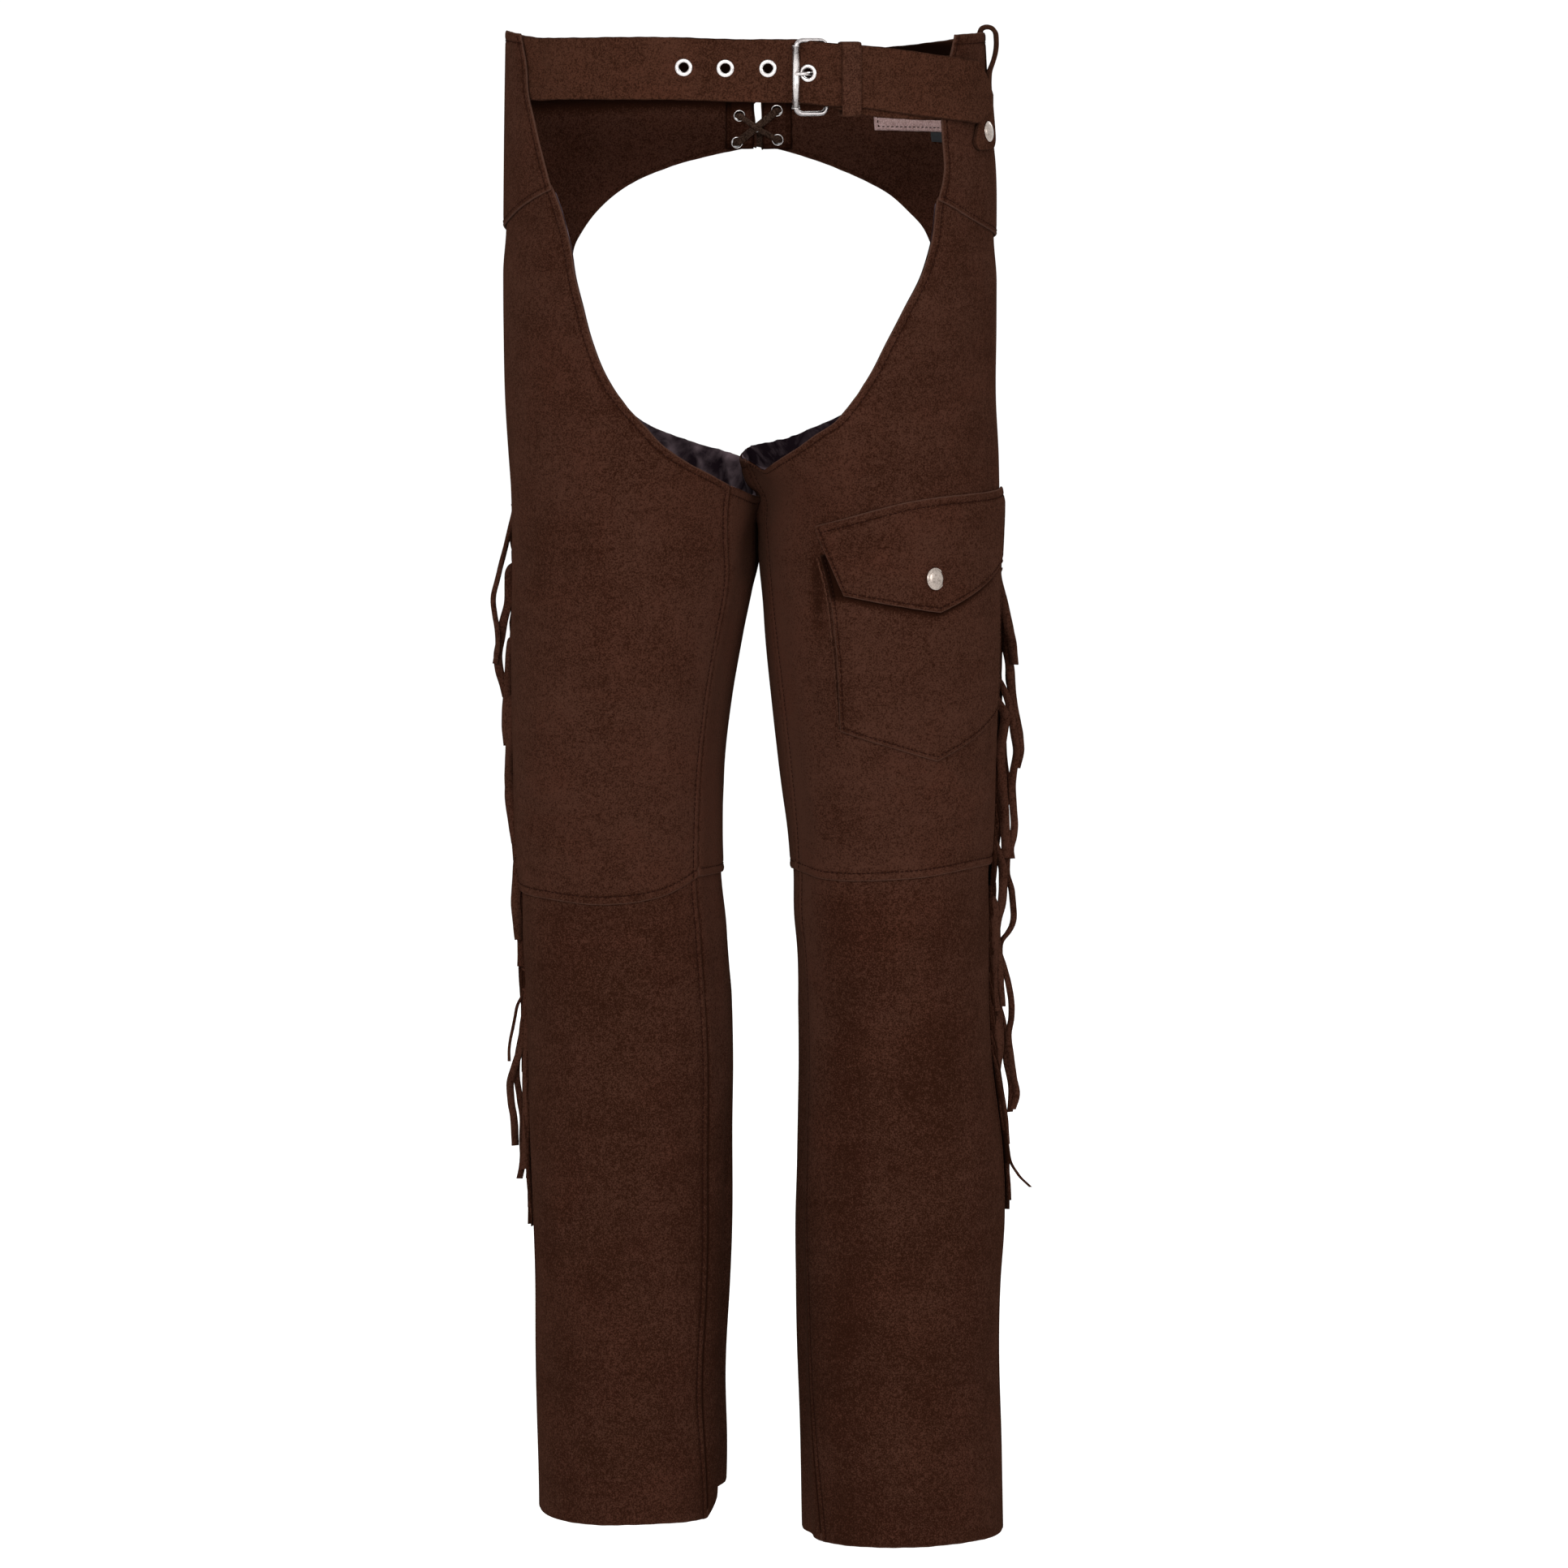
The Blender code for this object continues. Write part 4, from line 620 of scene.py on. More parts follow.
def leg_tone(side, angle, height):
    """Nap tone, rubbed thighs and seams, with painted light on the inner shins and painted shade in a shin
    fold, by the pocket and between the thighs.
    """
    turn = (np.asarray(angle, float) + 180) % 360 - 180
    z = np.asarray(height, float) / MM
    tone = 0.17 * ramp(z, -590, -578) - 0.15
    # Painted light: the inner sides of the shins are painted paler, where the other leg keeps off the light.
    tone = tone + 0.85 * np.exp(-(((turn + 64) / 20) ** 2)) * ramp(z, -850, -600)
    tone = tone + 0.12 * np.exp(-(((z + 520) / 60) ** 2)) * np.exp(-(((turn - 20) / 60) ** 2))
    # Painted shade along a fold down the front of each shin.
    fold = -30 if side == LEFT else -62
    tone = tone - 0.22 * ramp(-z, 560, 640) * np.exp(-(((turn - fold) / 12) ** 2))
    if side == LEFT:  # shadowed nap along the pocket's inner side
        beside = np.exp(-(((turn + 31.5) / 4.5) ** 2))
        tone = tone - 0.75 * beside * ramp(z, -425, -385) * ramp(-z, 335, 365)
    # Deep between the thighs the nap is painted dark: painted shade where the legs shut out the light.
    deep = ramp(-turn, 82 + 5 * ramp(-z, 316, 324), 92) * ramp(turn, -140, -125) * ramp(z, -420, -385)
    return tone - 1.2 * deep


def thigh_places(side, front, tucked=0.0):
    """Places and way out of a thigh panel, from the knee seam up to under the yoke.

    A back panel goes on behind the yoke as far as tucked says.
    """
    opening = (FRONT_OPENING if front else BACK_OPENING)[side]
    knee = (KNEE_FRONT if front else KNEE_BACK)[side]
    yoke_seam = (YOKE_SEAM_FRONT if front else YOKE_SEAM_BACK)[side]
    knee_inner, knee_outer = KNEE_FRONT[side][0][1], KNEE_FRONT[side][-1][1]
    move = SEAM_HALF if front else -SEAM_HALF
    seam = [(a + (0 if front else 360), h) for a, h in INSEAM[side]]
    u = steps(0.235 if front else 0.30, 3.8 * MM)
    if front:
        v = steps(0.60, 4.0 * MM)
        share = OPENING_SHARE
        inner = np.concatenate([
            upright(seam, knee_inner, opening[0][1], v[v <= share] / share, move),
            run(opening, (v[v > share] - share) / (1 - share)) + (move, 0),
        ])
        bottom, top = run(knee, u), run(yoke_seam, u)
    else:
        v = steps(0.30, 4.0 * MM)
        inner = upright(seam, knee_inner, opening[0][1], v, move)
        share = YOKE_SHARE
        bottom = run(knee, u)
        top = np.concatenate([
            run(yoke_seam, u[u <= share] / share),
            run(opening[::-1], (u[u > share] - share) / (1 - share)),
        ])
        top[:, 1] += tucked * (1 - ramp(u, share * 0.88, share))
    outer = upright(SIDE_SEAM[side], knee_outer, SIDE_SEAM[side][0][1] + tucked / MM, v, -move)
    first, last = (inner, outer) if front else (outer, inner)
    for line, row in ((bottom, 0), (top, -1)):
        line[0], line[-1] = first[row], last[row]
    places = patch(first, last, bottom, top, u)
    # The cloth dips below the yoke's edge and goes on behind it.
    covered = np.ones(len(u)) if front else 1 - ramp(u, share * 0.86, share)
    below = top[None, :, 1] - places[..., 1] - tucked
    out = UNDER * covered * ramp(-below, -YOKE_DIP, -0.5 * MM)
    if not front:
        return places, out
    middle = top[:, 0].mean()
    under = [
        np.stack([(top[:, 0] - middle) * (1 - 0.12 * lap) + middle, top[:, 1] + lap * YOKE_LAP], -1)
        for lap in (0.3, 0.65, 1.0)
    ]
    return np.concatenate([places, under]), np.concatenate([out, np.full((3, len(u)), UNDER)])


def shin_places(side, front):
    """Places and way out of a shin panel, from the hem up to under the thigh panel."""
    knee = (KNEE_FRONT if front else KNEE_BACK)[side]
    hem = (HEM_FRONT if front else HEM_BACK)[side]
    move = SEAM_HALF if front else -SEAM_HALF
    seam = [(a + (0 if front else 360), h) for a, h in INSEAM[side]]
    u, v = steps(0.23, 3.8 * MM), steps(0.45, 4.0 * MM)
    first = upright(seam, seam[-1][1], KNEE_FRONT[side][0][1], v, move)
    last = upright(SIDE_SEAM[side], SIDE_SEAM[side][-1][1], KNEE_FRONT[side][-1][1], v, -move)
    if not front:
        first, last = last, first
    bottom, top = run(hem, u), run(knee, u)
    for edge, row in ((bottom, 0), (top, -1)):
        edge[0], edge[-1] = first[row], last[row]
    places = patch(first, last, bottom, top, u)
    below = top[None, :, 1] - places[..., 1]
    out = UNDER * ramp(-below, -KNEE_DIP, -0.5 * MM)
    under = [top + (0, share * KNEE_LAP) for share in (0.35, 0.7, 1.0)]
    places = np.concatenate([places, under])
    return places, np.concatenate([out, np.full((3, len(u)), UNDER)])


leg_panels = {}
for side in (RIGHT, LEFT):
    for front in (True, False):
        end = "front" if front else "back"
        inner_edge, outer_edge = ("left", "right") if front else ("right", "left")
        at = functools.partial(surface, side)
        places, out = thigh_places(side, front, 0 if front else BACK_TUCK)
        stitched = {outer_edge: STITCH_INSET, "bottom": STITCH_INSET}
        stitched["left" if front else "top"] = STITCH_INSET
        name = f"{NAMES[side]}_{end}_thigh"
        hem = 0.12 * np.exp(-(((places[..., 1] - places[0, :, 1]) / (9 * MM)) ** 2))
        heights = places[..., 1]
        whole = (heights < INSEAM[side][0][1] * MM - 2 * MM) & (heights > places[0, :, 1] + 6 * MM)
        panel, flat = cut_sheet(name, at, places, out, stitched=stitched, whole=whole,
                                tone=leg_tone(side, places[..., 0], heights) + hem)
        leg_panels[name] = (panel, flat, f"{NAMES[side]}_{end}_upper")
        places, out = shin_places(side, front)
        stitched = {outer_edge: STITCH_INSET}
        if front:
            stitched[inner_edge] = STITCH_INSET
        name = f"{NAMES[side]}_{end}_shin"
        panel, flat = cut_sheet(name, at, places, out, stitched=stitched,
                                whole=places[..., 1] > places[0, :, 1] + 6 * MM,
                                tone=leg_tone(side, places[..., 0], places[..., 1]) - 0.05)
        leg_panels[name] = (panel, flat, f"{NAMES[side]}_{end}_lower")


def dress(piece, cad_nodes, material, shape=None):
    piece.data.materials.clear()
    piece.data.materials.append(material)
    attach(piece, "root")
    if cad_nodes:
        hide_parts(*cad_nodes)
    if shape is not None:
        width = round(travel(shape, 1)[0][:, -1].max(), 3)
        length = round(travel(shape, 0)[0][-1].max(), 3)
        crossed = np.cross(shape[1:, 1:] - shape[:-1, :-1], shape[1:, :-1] - shape[:-1, 1:])
        area = np.linalg.norm(crossed, axis=-1).sum() / 2
        area = round(min(area, 0.999 * width * length), 4)  # a cut is never more than its rectangle


for name, (panel, flat, cad_node) in leg_panels.items():
    dress(panel, [cad_node], suede, flat)


# ------------------------------------------------------------------ satin linings of the thighs
# Thin dark satin sewn in under the thighs' upper edges. It is cut a little full, so it lies in
# small sharp gathers on the inside of the leather.

SATIN = 0.6 * MM
LINING_OUT, LINING_BOTTOM = -(SUEDE + 0.5 * MM), -0.44

satin, tree, principled, place = shader("dark_satin", 0.5)
weave = noise(tree, place, 900, 2, 0.5, stretch=(1, 1, 3))
worn = noise(tree, place, 60, 4, 0.6, warp=0.5)
# The tone that the lining's points carry is the painted highlight on the ridges of its gathers.
ridge = attribute(tree, "tone")
shade = sums(tree, "ADD", spread(tree, worn, 0.35, 0.7, -0.2, 0.2), ridge, clamp=True)
colour = mixed(tree, shade, (0.0075, 0.0045, 0.0062), (0.150, 0.108, 0.120))
tree.links.new(colour, principled.inputs["Base Color"])
tree.links.new(spread(tree, weave, 0.3, 0.7, 0.42, 0.6), principled.inputs["Roughness"])
principled.inputs["Specular IOR Level"].default_value = 0
bump = node(tree, "ShaderNodeBump", Strength=0.25, Distance=0.0004, Height=weave)
tree.links.new(bump.outputs[0], principled.inputs["Normal"])


def gathers(side, angle, height):
    """How far the satin's gathers stand in from the leather, and the painted highlight on their ridges."""
    x, z = angle * DEGREE, height / MM
    bend = 9 * np.sin(x / 31 + side) + 7 * np.sin(z / 19 + 2 * side + x / 47)
    small = (1 - np.abs(np.sin((x + 0.3 * z + bend) / 6.5))) ** 1.3
    broad = (1 - np.abs(np.sin((0.8 * x - 0.9 * z * side + 1.8 * bend) / 15))) ** 1.5
    full = 0.35 + 0.65 * ramp(height, -0.40, -0.31)
    # The left lining is drawn smooth, apart from a few folds by its inner corner.
    drawn = 1 if side == RIGHT else 0.12 + 0.88 * ramp(np.abs((angle - 284 + 180) % 360 - 180), 42, 18)
    stand = full * (2.2 * small + 3.2 * broad) * drawn * MM
    return stand, 0.05 + drawn * (0.38 * small**1.6 + 0.46 * broad)


for side in (RIGHT, LEFT):
    for front in (True, False):
        end = "front" if front else "back"
        places, out = thigh_places(side, front)
        start = np.searchsorted(places[:, 0 if front else -1, 1], LINING_BOTTOM)
        stop = -6 if front else -1  # a front lining ends below the yoke's lap
        places, out = places[start:stop, 1:-1], out[start:stop, 1:-1]
        flat = surface(side, places[..., 0], places[..., 1], out + LINING_OUT)
        edge = np.minimum.reduce([*travel(flat, 0), *travel(flat, 1)])
        stand, pale = gathers(side, places[..., 0], places[..., 1])
        stand = stand * ramp(edge, -1 * MM, 6 * MM)
        if not front:  # its top edge is drawn up unevenly to the leather's
            angle = places[-1, :, 0]
            places[-1, :, 1] += (0.4 + 0.5 * np.sin(angle * 1.1) * np.sin(angle * 0.37)) * MM
        outer = surface(side, places[..., 0], places[..., 1], out + LINING_OUT - stand)
        inner = surface(side, places[..., 0], places[..., 1], out + LINING_OUT - stand - SATIN)
        # pale is the painted highlight on the gathers' ridges.
        lining = shell(f"{NAMES[side]}_{end}_satin", outer, inner, tone=pale, ragged=0)
        dress(lining, [f"{NAMES[side]}_lining_{end}"], satin, flat)


# ------------------------------------------------------------------ yokes
# A shaped suede panel over each hip, lapped over the top of the leg and topstitched, with a
# hemmed top. The belt's ends are held behind their fronts, and lacing joins them at the back.

YOKE_FRONT_EDGE = {
    RIGHT: ((66.5, 0), (62.5, -20), (61, -40), (58.5, -55), (54.5, -80), (50.5, -104)),
    LEFT: ((58, 0), (54, -22), (51, -45), (50, -70), (49.5, -92), (47, -111)),
}
YOKE_TOP = {
    RIGHT: ((66.5, 0), (85, 1), (105, -2), (125, -7), (150, -15), (181.5, -20)),
    LEFT: ((58, 0), (80, 0), (105, -3), (125, -8), (150, -15), (176.7, -20)),
}
SEAT_ARCH = {
    RIGHT: ((137, -163), (137.4, -150), (139, -142), (143, -127.5), (151.7, -108.5), (162.8, -95.5),
            (173, -88), (181.5, -82.6)),
    LEFT: ((134, -162), (135.6, -150), (137.6, -138.5), (141.7, -127.5), (146.4, -116.5), (153.7, -105.5),
           (167.4, -90), (176.7, -82.2)),
}

yokes = {}
for side in (RIGHT, LEFT):
    u, v = steps(0.36, 3.4 * MM), steps(0.09, 3.4 * MM)
    bottom = np.concatenate([
        run(YOKE_SEAM_FRONT[side], u[u <= 1 / 3] * 3),
        run(YOKE_SEAM_BACK[side], (u[(u > 1 / 3) & (u <= 5 / 9)] - 1 / 3) * 4.5),
        run(SEAT_ARCH[side], (u[u > 5 / 9] - 5 / 9) * 2.25),
    ])
    top = run(YOKE_TOP[side], u)
    front_edge = run(YOKE_FRONT_EDGE[side][::-1], v)
    back_edge = bottom[-1] + v[:, None] * (top[-1] - bottom[-1])
    places = patch(front_edge, back_edge, bottom, top, u)
    level = places[..., 1] / MM
    shade = 0.12 - 1.6 * ramp(level, -62, -48) * ramp(-level, 4, 12)  # shut in behind the belt
    yokes[side], flat = cut_sheet(
        f"{NAMES[side]}_hip_yoke", functools.partial(surface, side), places, tone=-0.02, kind="yoke",
        shade=shade, stitched={"bottom": 3.2 * MM, "left": 4.5 * MM, "top": 7 * MM},
    )
    dress(yokes[side], [f"{NAMES[side]}_yoke"], suede, flat)


def turned(profile, sides, origin, axis, closed=False):
    """Points and faces turned round an axis; profile rows are (radius, way along the axis)."""
    axis = np.asarray(axis, float) / np.linalg.norm(axis)
    first = np.cross(axis, (0, 0, 1.0))
    first /= np.linalg.norm(first)
    second = np.cross(axis, first)
    points, rings, faces = [], [], []
    for radius, along in profile:
        centre = np.asarray(origin) + axis * along
        if radius == 0:
            rings.append([len(points)] * sides)
            points.append(centre)
            continue
        rings.append(list(range(len(points), len(points) + sides)))
        for turn in np.linspace(0, 2 * math.pi, sides, endpoint=False):
            points.append(centre + radius * (math.cos(turn) * first + math.sin(turn) * second))
    for low, high in zip(rings, rings[1:] + rings[:1] if closed else rings[1:]):
        for s in range(sides):
            n = (s + 1) % sides
            faces.append(tuple(dict.fromkeys((low[s], low[n], high[n], high[s]))))
    return points, faces


def joined(name, parts, attributes=()):
    """One object from several lists of points and faces."""
    points, faces = [], []
    for more, more_faces in parts:
        faces += [tuple(len(points) + i for i in face) for face in more_faces]
        points += list(more)
    return mesh_object(name, points, faces, attributes)


def plain(made):
    """An object with what its modifiers give as its own plain mesh."""
    bpy.context.view_layer.update()
    whole = bpy.data.meshes.new_from_object(made.evaluated_get(bpy.context.evaluated_depsgraph_get()))
    made.modifiers.clear()
    made.data = whole
    return made


def pierce(target, parts):
    """Cuts shapes out of an object for good."""
    cutter = joined("cutter", parts)
    hole = target.modifiers.new("holes", "BOOLEAN")
    hole.operation, hole.object = "DIFFERENCE", cutter
    plain(target)
    bpy.data.objects.remove(cutter)


# ------------------------------------------------------------------ lacing at the centre back
# The yokes' ends have a stitched-on facing with three nickel eyelets each. A flat suede lace
# crosses between them and is tied outside, with two short free ends.

# The belt pieces' cut edges are painted near black: painted shade along and under their edges.
belt_suede = brushed_suede("belt_suede", (0.0130, 0.0044, 0.0023), (0.0375, 0.0146, 0.0087),
                           cut=(0.008, 0.0038, 0.0026))
whole_suede = brushed_suede("whole_suede", (0.0148, 0.0053, 0.0031), (0.0425, 0.0178, 0.0112), False)
lace_suede = brushed_suede("lace_suede", (0.0120, 0.0062, 0.0042), (0.0460, 0.0270, 0.0190), False)


def worn_nickel(name, dull, bright):
    """Nickel plating, clouded and finely scratched, with painted shade inside an eyelet's barrel."""
    made, tree, principled, place = shader(name, 0.3, 1.0)
    rubbed = noise(tree, place, 620, 4, 0.7)
    colour = mixed(tree, spread(tree, rubbed, 0.3, 0.7), dull, bright)
    # Painted shade: the points inside a barrel's hole are painted near black.
    colour = mixed(tree, attribute(tree, "inside"), colour, (0.02, 0.014, 0.011))
    tree.links.new(colour, principled.inputs["Base Color"])
    tree.links.new(spread(tree, rubbed, 0.35, 0.7, 0.2, 0.4), principled.inputs["Roughness"])
    return made


nickel = worn_nickel("worn_nickel", (0.46, 0.43, 0.42), (0.68, 0.64, 0.63))
# The buckle's frame gets a darker copy of the same nickel: painted shade for the dark surroundings that it
# reflects.
rod_nickel = worn_nickel("rod_nickel", (0.23, 0.21, 0.21), (0.40, 0.375, 0.37))

PATCH_OUT = -(SUEDE + 0.4 * MM)
FLANGE_IN = PATCH_OUT - SUEDE
LACE_ROWS = (  # across and height of the right and left eyelet
    ((-6.6, -37.0), (18.0, -34.5)),
    ((-7.6, -61.3), (18.7, -57.7)),
    ((-9.3, -80.0), (19.3, -78.0)),
)
PATCH_ACROSS = {RIGHT: (-17, 2.2), LEFT: (8.8, 29)}
PATCH_BOTTOM, PATCH_HEIGHT = -84.4 * MM, 60.4 * MM
EYE_HOLE, EYE_BARREL, EYE_FLANGE, EYE_LIP = 3.4 * MM, 3.6 * MM, 4.1 * MM, 0.35 * MM
EYE_SIDES = 28
LACE_WIDTH, LACE = 5.4 * MM, 1.3 * MM
LACE_INSIDE = FLANGE_IN - EYE_LIP - 0.3 * MM - LACE / 2
LACE_OUTSIDE = EYE_LIP + 0.4 * MM + LACE / 2


def place_at(side, across, height, behind=False):
    """The angle of the ring's point that lies a given way across, in front or behind."""
    tries = np.linspace(92, 265, 347) if behind else np.linspace(-88, 89, 355)
    places = ring(side, tries, np.full(len(tries), height))[:, 0]
    order = np.argsort(places)
    return np.interp(across, places[order], tries[order])


def at_back(across, height, out):
    """Points near the centre back."""
    across, height, out = np.broadcast_arrays(across, height, out)
    angles = [place_at(LEFT, x, z, behind=True) for x, z in zip(across.ravel(), height.ravel())]
    return surface(LEFT, np.reshape(angles, across.shape), height, out)


def bore(radius, low, high, sides, centre, axis):
    """Points and faces of a round cutter."""
    return turned(((0, low), (radius, low), (radius, high), (0, high)), sides, centre, axis)


def rolled(hole, flange, lip, count):
    """An eyelet's flange, rolled over from its barrel: rows of (radius, way out)."""
    return [
        (hole + (flange - hole) * (1 - math.cos(t)) / 2, lip * math.sin(t))
        for t in np.linspace(0, math.pi, count)
    ]


def in_barrel(profile, hole, number):
    """The inside attribute of eyelets: 1 on the points of each barrel's hole."""
    rows = [radius < hole + 0.05 * MM for radius, _ in profile]
    return ("inside", np.tile(np.repeat(rows, EYE_SIDES), number))


low, high = -0.1 * MM, -FLANGE_IN + 0.1 * MM
roll = rolled(EYE_HOLE, EYE_FLANGE, EYE_LIP, 9)
profile = [(r, low - z) for r, z in roll] + [(EYE_BARREL, low), (EYE_BARREL, high)]
profile += [(r, high + z) for r, z in reversed(roll)]
bores, eyelets = [], []
for right_and_left in LACE_ROWS:
    for across, height in np.array(right_and_left) * MM:
        centre = at_back(across, height, 0)
        axis = at_back(across, height, -MM) - centre
        bores.append(bore(EYE_BARREL, -3 * MM, 7 * MM, 24, centre, axis))
        eyelets.append(turned(profile, EYE_SIDES, centre, axis, closed=True))

for side in (RIGHT, LEFT):
    pierce(yokes[side], bores)
    across, height = np.meshgrid(
        (PATCH_ACROSS[side][0] + steps(0.020, 1.5 * MM, False) * np.ptp(PATCH_ACROSS[side])) * MM,
        PATCH_BOTTOM + steps(0.062, 1.5 * MM, False) * PATCH_HEIGHT,
    )
    # The facing is painted dark towards its top: painted shade behind and under the belt.
    facing, _ = cut_sheet(f"lacing_facing_{NAMES[side]}", at_back, np.stack([across, height], -1), PATCH_OUT,
                          kind="yoke", tone=-0.15 - 1.5 * ramp(height, -62 * MM, -48 * MM), whole=True,
                          stitched={"left" if side == RIGHT else "right": 2.6 * MM, "bottom": 2.6 * MM})
    pierce(facing, bores)
    dress(facing, [f"lacing_patch_{NAMES[side]}"], suede)
dress(joined("lacing_eyelets", eyelets, [in_barrel(profile, EYE_HOLE, len(eyelets))]),
      [f"lace_eyelet_{name}_{row}" for name in NAMES.values() for row in ("top", "middle", "bottom")],
      nickel)


def tube(loops, closed=False):
    """Points and faces of a tube through equal loops, with flat ends unless it closes on itself."""
    rows, sides = len(loops), len(loops[0])
    faces = [] if closed else [tuple(range(sides))[::-1], tuple(range((rows - 1) * sides, rows * sides))]
    for r in range(rows if closed else rows - 1):
        for s in range(sides):
            a, b, n = r * sides, (r + 1) % rows * sides, (s + 1) % sides
            faces.append((a + s, a + n, b + n, b + s))
    return [point for loop in loops for point in loop], faces


def ribbon(points, width_lines, widths, thick, sides=10):
    """Points and faces of a flat strap; the width lines give its broad side's direction."""
    loops = []
    for i, point in enumerate(points):
        tangent = points[min(i + 1, len(points) - 1)] - points[max(i - 1, 0)]
        wide = width_lines[i] - tangent * (width_lines[i] @ tangent) / (tangent @ tangent)
        wide /= np.linalg.norm(wide)
        high = np.cross(tangent, wide)
        high /= np.linalg.norm(high)
        loop = []
        for turn in np.linspace(0, 2 * math.pi, sides, endpoint=False) + math.pi / sides:
            c, s = math.cos(turn), math.sin(turn)
            x = math.copysign(abs(c) ** 0.55, c) * widths[i] / 2
            y = math.copysign(abs(s) ** 0.8, s) * thick / 2
            loop.append(point + wide * x + high * y)
        loops.append(loop)
    return tube(loops)


KNOT = np.array((5.6, -81.6)) * MM
rows = [(np.array(right) * MM, np.array(left) * MM) for right, left in LACE_ROWS]
CROSSING = LACE + 0.5 * MM  # how far a length rises over the one that it crosses
stations = []  # across, height, out, width, direction of the width
width_way = np.array([0, -1.0])
spans = (
    (KNOT + (-3 * MM, 0), rows[2][0], LACE_OUTSIDE, 0),
    (rows[2][0], rows[1][1], LACE_INSIDE, 0),
    (rows[1][1], rows[0][0], LACE_OUTSIDE, 0),
    (rows[0][0], rows[0][1], LACE_INSIDE, 0),
    (rows[0][1], rows[1][0], LACE_OUTSIDE, CROSSING),
    (rows[1][0], rows[2][1], LACE_INSIDE, -CROSSING),
    (rows[2][1], KNOT + (3 * MM, 0), LACE_OUTSIDE, 0),
)
for number, (start, end, layer, lift) in enumerate(spans):
    length = np.linalg.norm(end - start)
    way = (end - start) / length
    turned_way = np.array([-way[1], way[0]])
    turned_way *= 1 if turned_way @ width_way > 0 else -1
    width = LACE_WIDTH * (0.72 if lift < 0 else 1)
    if number:
        # It rises through the far side of the hole, so it fills the eyelet.
        inner = (LACE_INSIDE + 1.3 * MM, LACE_OUTSIDE - 1.3 * MM)
        far = start - 1.9 * MM * (way if layer == LACE_OUTSIDE else -before)
        for out in inner if layer == LACE_OUTSIDE else inner[::-1]:
            stations.append((*far, out, LACE_WIDTH, *(turned_way if layer == LACE_OUTSIDE else width_way)))
        stations.append((*(start + way * 0.6 * MM), layer * 0.97, LACE_WIDTH, *turned_way))
        stations.append((*(start + way * 4 * MM), layer, width, *turned_way))
    else:
        stations.append((*start, layer, width, *turned_way))
    if lift:
        for share, high in ((-9.0, 0), (-4.5, 1), (4.5, 1), (9.0, 0)):
            place = start + way * (length / 2 + share * MM)
            stations.append((*place, layer + high * lift, width, *turned_way))
    elif length > 15 * MM:
        stations.append((*(start + way * length / 2), layer, width, *turned_way))
    if number < len(spans) - 1:
        stations.append((*(end - way * 4 * MM), layer, width, *turned_way))
        stations.append((*(end - way * 0.6 * MM), layer * 0.97, LACE_WIDTH, *turned_way))
    else:
        stations.append((*end, layer, width, *turned_way))
    width_way, before = turned_way, way
stations = np.array(stations)
gone = np.linalg.norm(np.diff(stations[:, :3], axis=0), axis=1)
gone = np.concatenate([[0], np.cumsum(gone)])
fine = np.linspace(0, gone[-1], round(gone[-1] / (0.9 * MM)))
stations = np.stack([smooth(fine, gone, stations[:, c]) for c in range(6)], -1)
points = at_back(*stations[:, :3].T)
aside = at_back(stations[:, 0] + stations[:, 4] * MM, stations[:, 1] + stations[:, 5] * MM, stations[:, 2])
lace = joined("lace_suede_strip", [ribbon(points, aside - points, stations[:, 3], LACE)])
dress(lace, ["lace"], lace_suede)

# The knot: one turn of the lace round its two ends, which hang below it.
wrap = np.array([
    at_back(KNOT[0] + 3.6 * MM * math.cos(turn) * (1 + 0.05 * math.sin(3 * turn)),
            KNOT[1] - (0.6 - turn * 0.45) * MM,
            LACE_OUTSIDE + 2.2 * MM + 2.3 * MM * math.sin(turn))
    for turn in np.radians(np.linspace(-60, 380, 34))
])
knot_parts = [ribbon(wrap, np.tile((0.15, 0, 1.0), (len(wrap), 1)), np.full(len(wrap), 7.6 * MM), LACE)]
for way, low, end_out in ((-1, -3.0, 0.6), (1, -2.2, 1.4)):
    tail = np.array([
        at_back(KNOT[0] + way * (1.0 + 2.4 * t * t) * MM, KNOT[1] + (7.4 - (7.4 - low) * t) * MM,
                LACE_OUTSIDE + (1.6 + way * 0.75 * (1 - t) + end_out * t) * MM)
        for t in np.linspace(0, 1, 16)
    ])
    knot_parts.append(ribbon(tail, np.tile((1.0, 0.1 * way, 0.0), (16, 1)), np.full(16, 4.2 * MM), LACE))
dress(joined("lace_knot_and_ends", knot_parts), ["lace_knot"], lace_suede)


# ------------------------------------------------------------------ belt
# A strap of doubled suede with raw cut edges, that runs over the hips to a buckle left of the
# middle. Its pointed end goes through the buckle and lies on the billet under a suede keeper.
# Five nickel eyelets are set through it.

STRAP_WIDTH, STRAP = 42 * MM, 2.8 * MM
STRAP_ROWS = (
    # across, out of the inner face, height of the middle, share of the width
    (-158, -5.2, -23.6, 1),
    (-150, -5.2, -23.3, 1),
    (-143, -5.2, -23.2, 1),
    (-134, -3.0, -22.6, 1),
    (-105, -2.8, -21.7, 1),
    (-56, -2.8, -21.2, 1),
    (-7, -2.8, -22.4, 1),
    (18, -3.4, -22.8, 1),
    (31, -4.4, -23.0, 1),
    (39, -1.6, -23.6, 1),
    (46, 0.7, -24.3, 1),
    (53, 1.0, -25.2, 1),
    (62, 0.8, -25.8, 1),
    (80, 0.8, -27.3, 1),
    (105, 0.8, -31.0, 1),
    (122, 0.9, -33.8, 1),
    (136, 2.2, -36.2, 1),
    (146, 3.1, -38.4, 1),
    (151, 3.1, -39.5, 1),
    (157, 3.1, -43.0, 0.62),
    (161, 3.1, -46.5, 0.2),
)
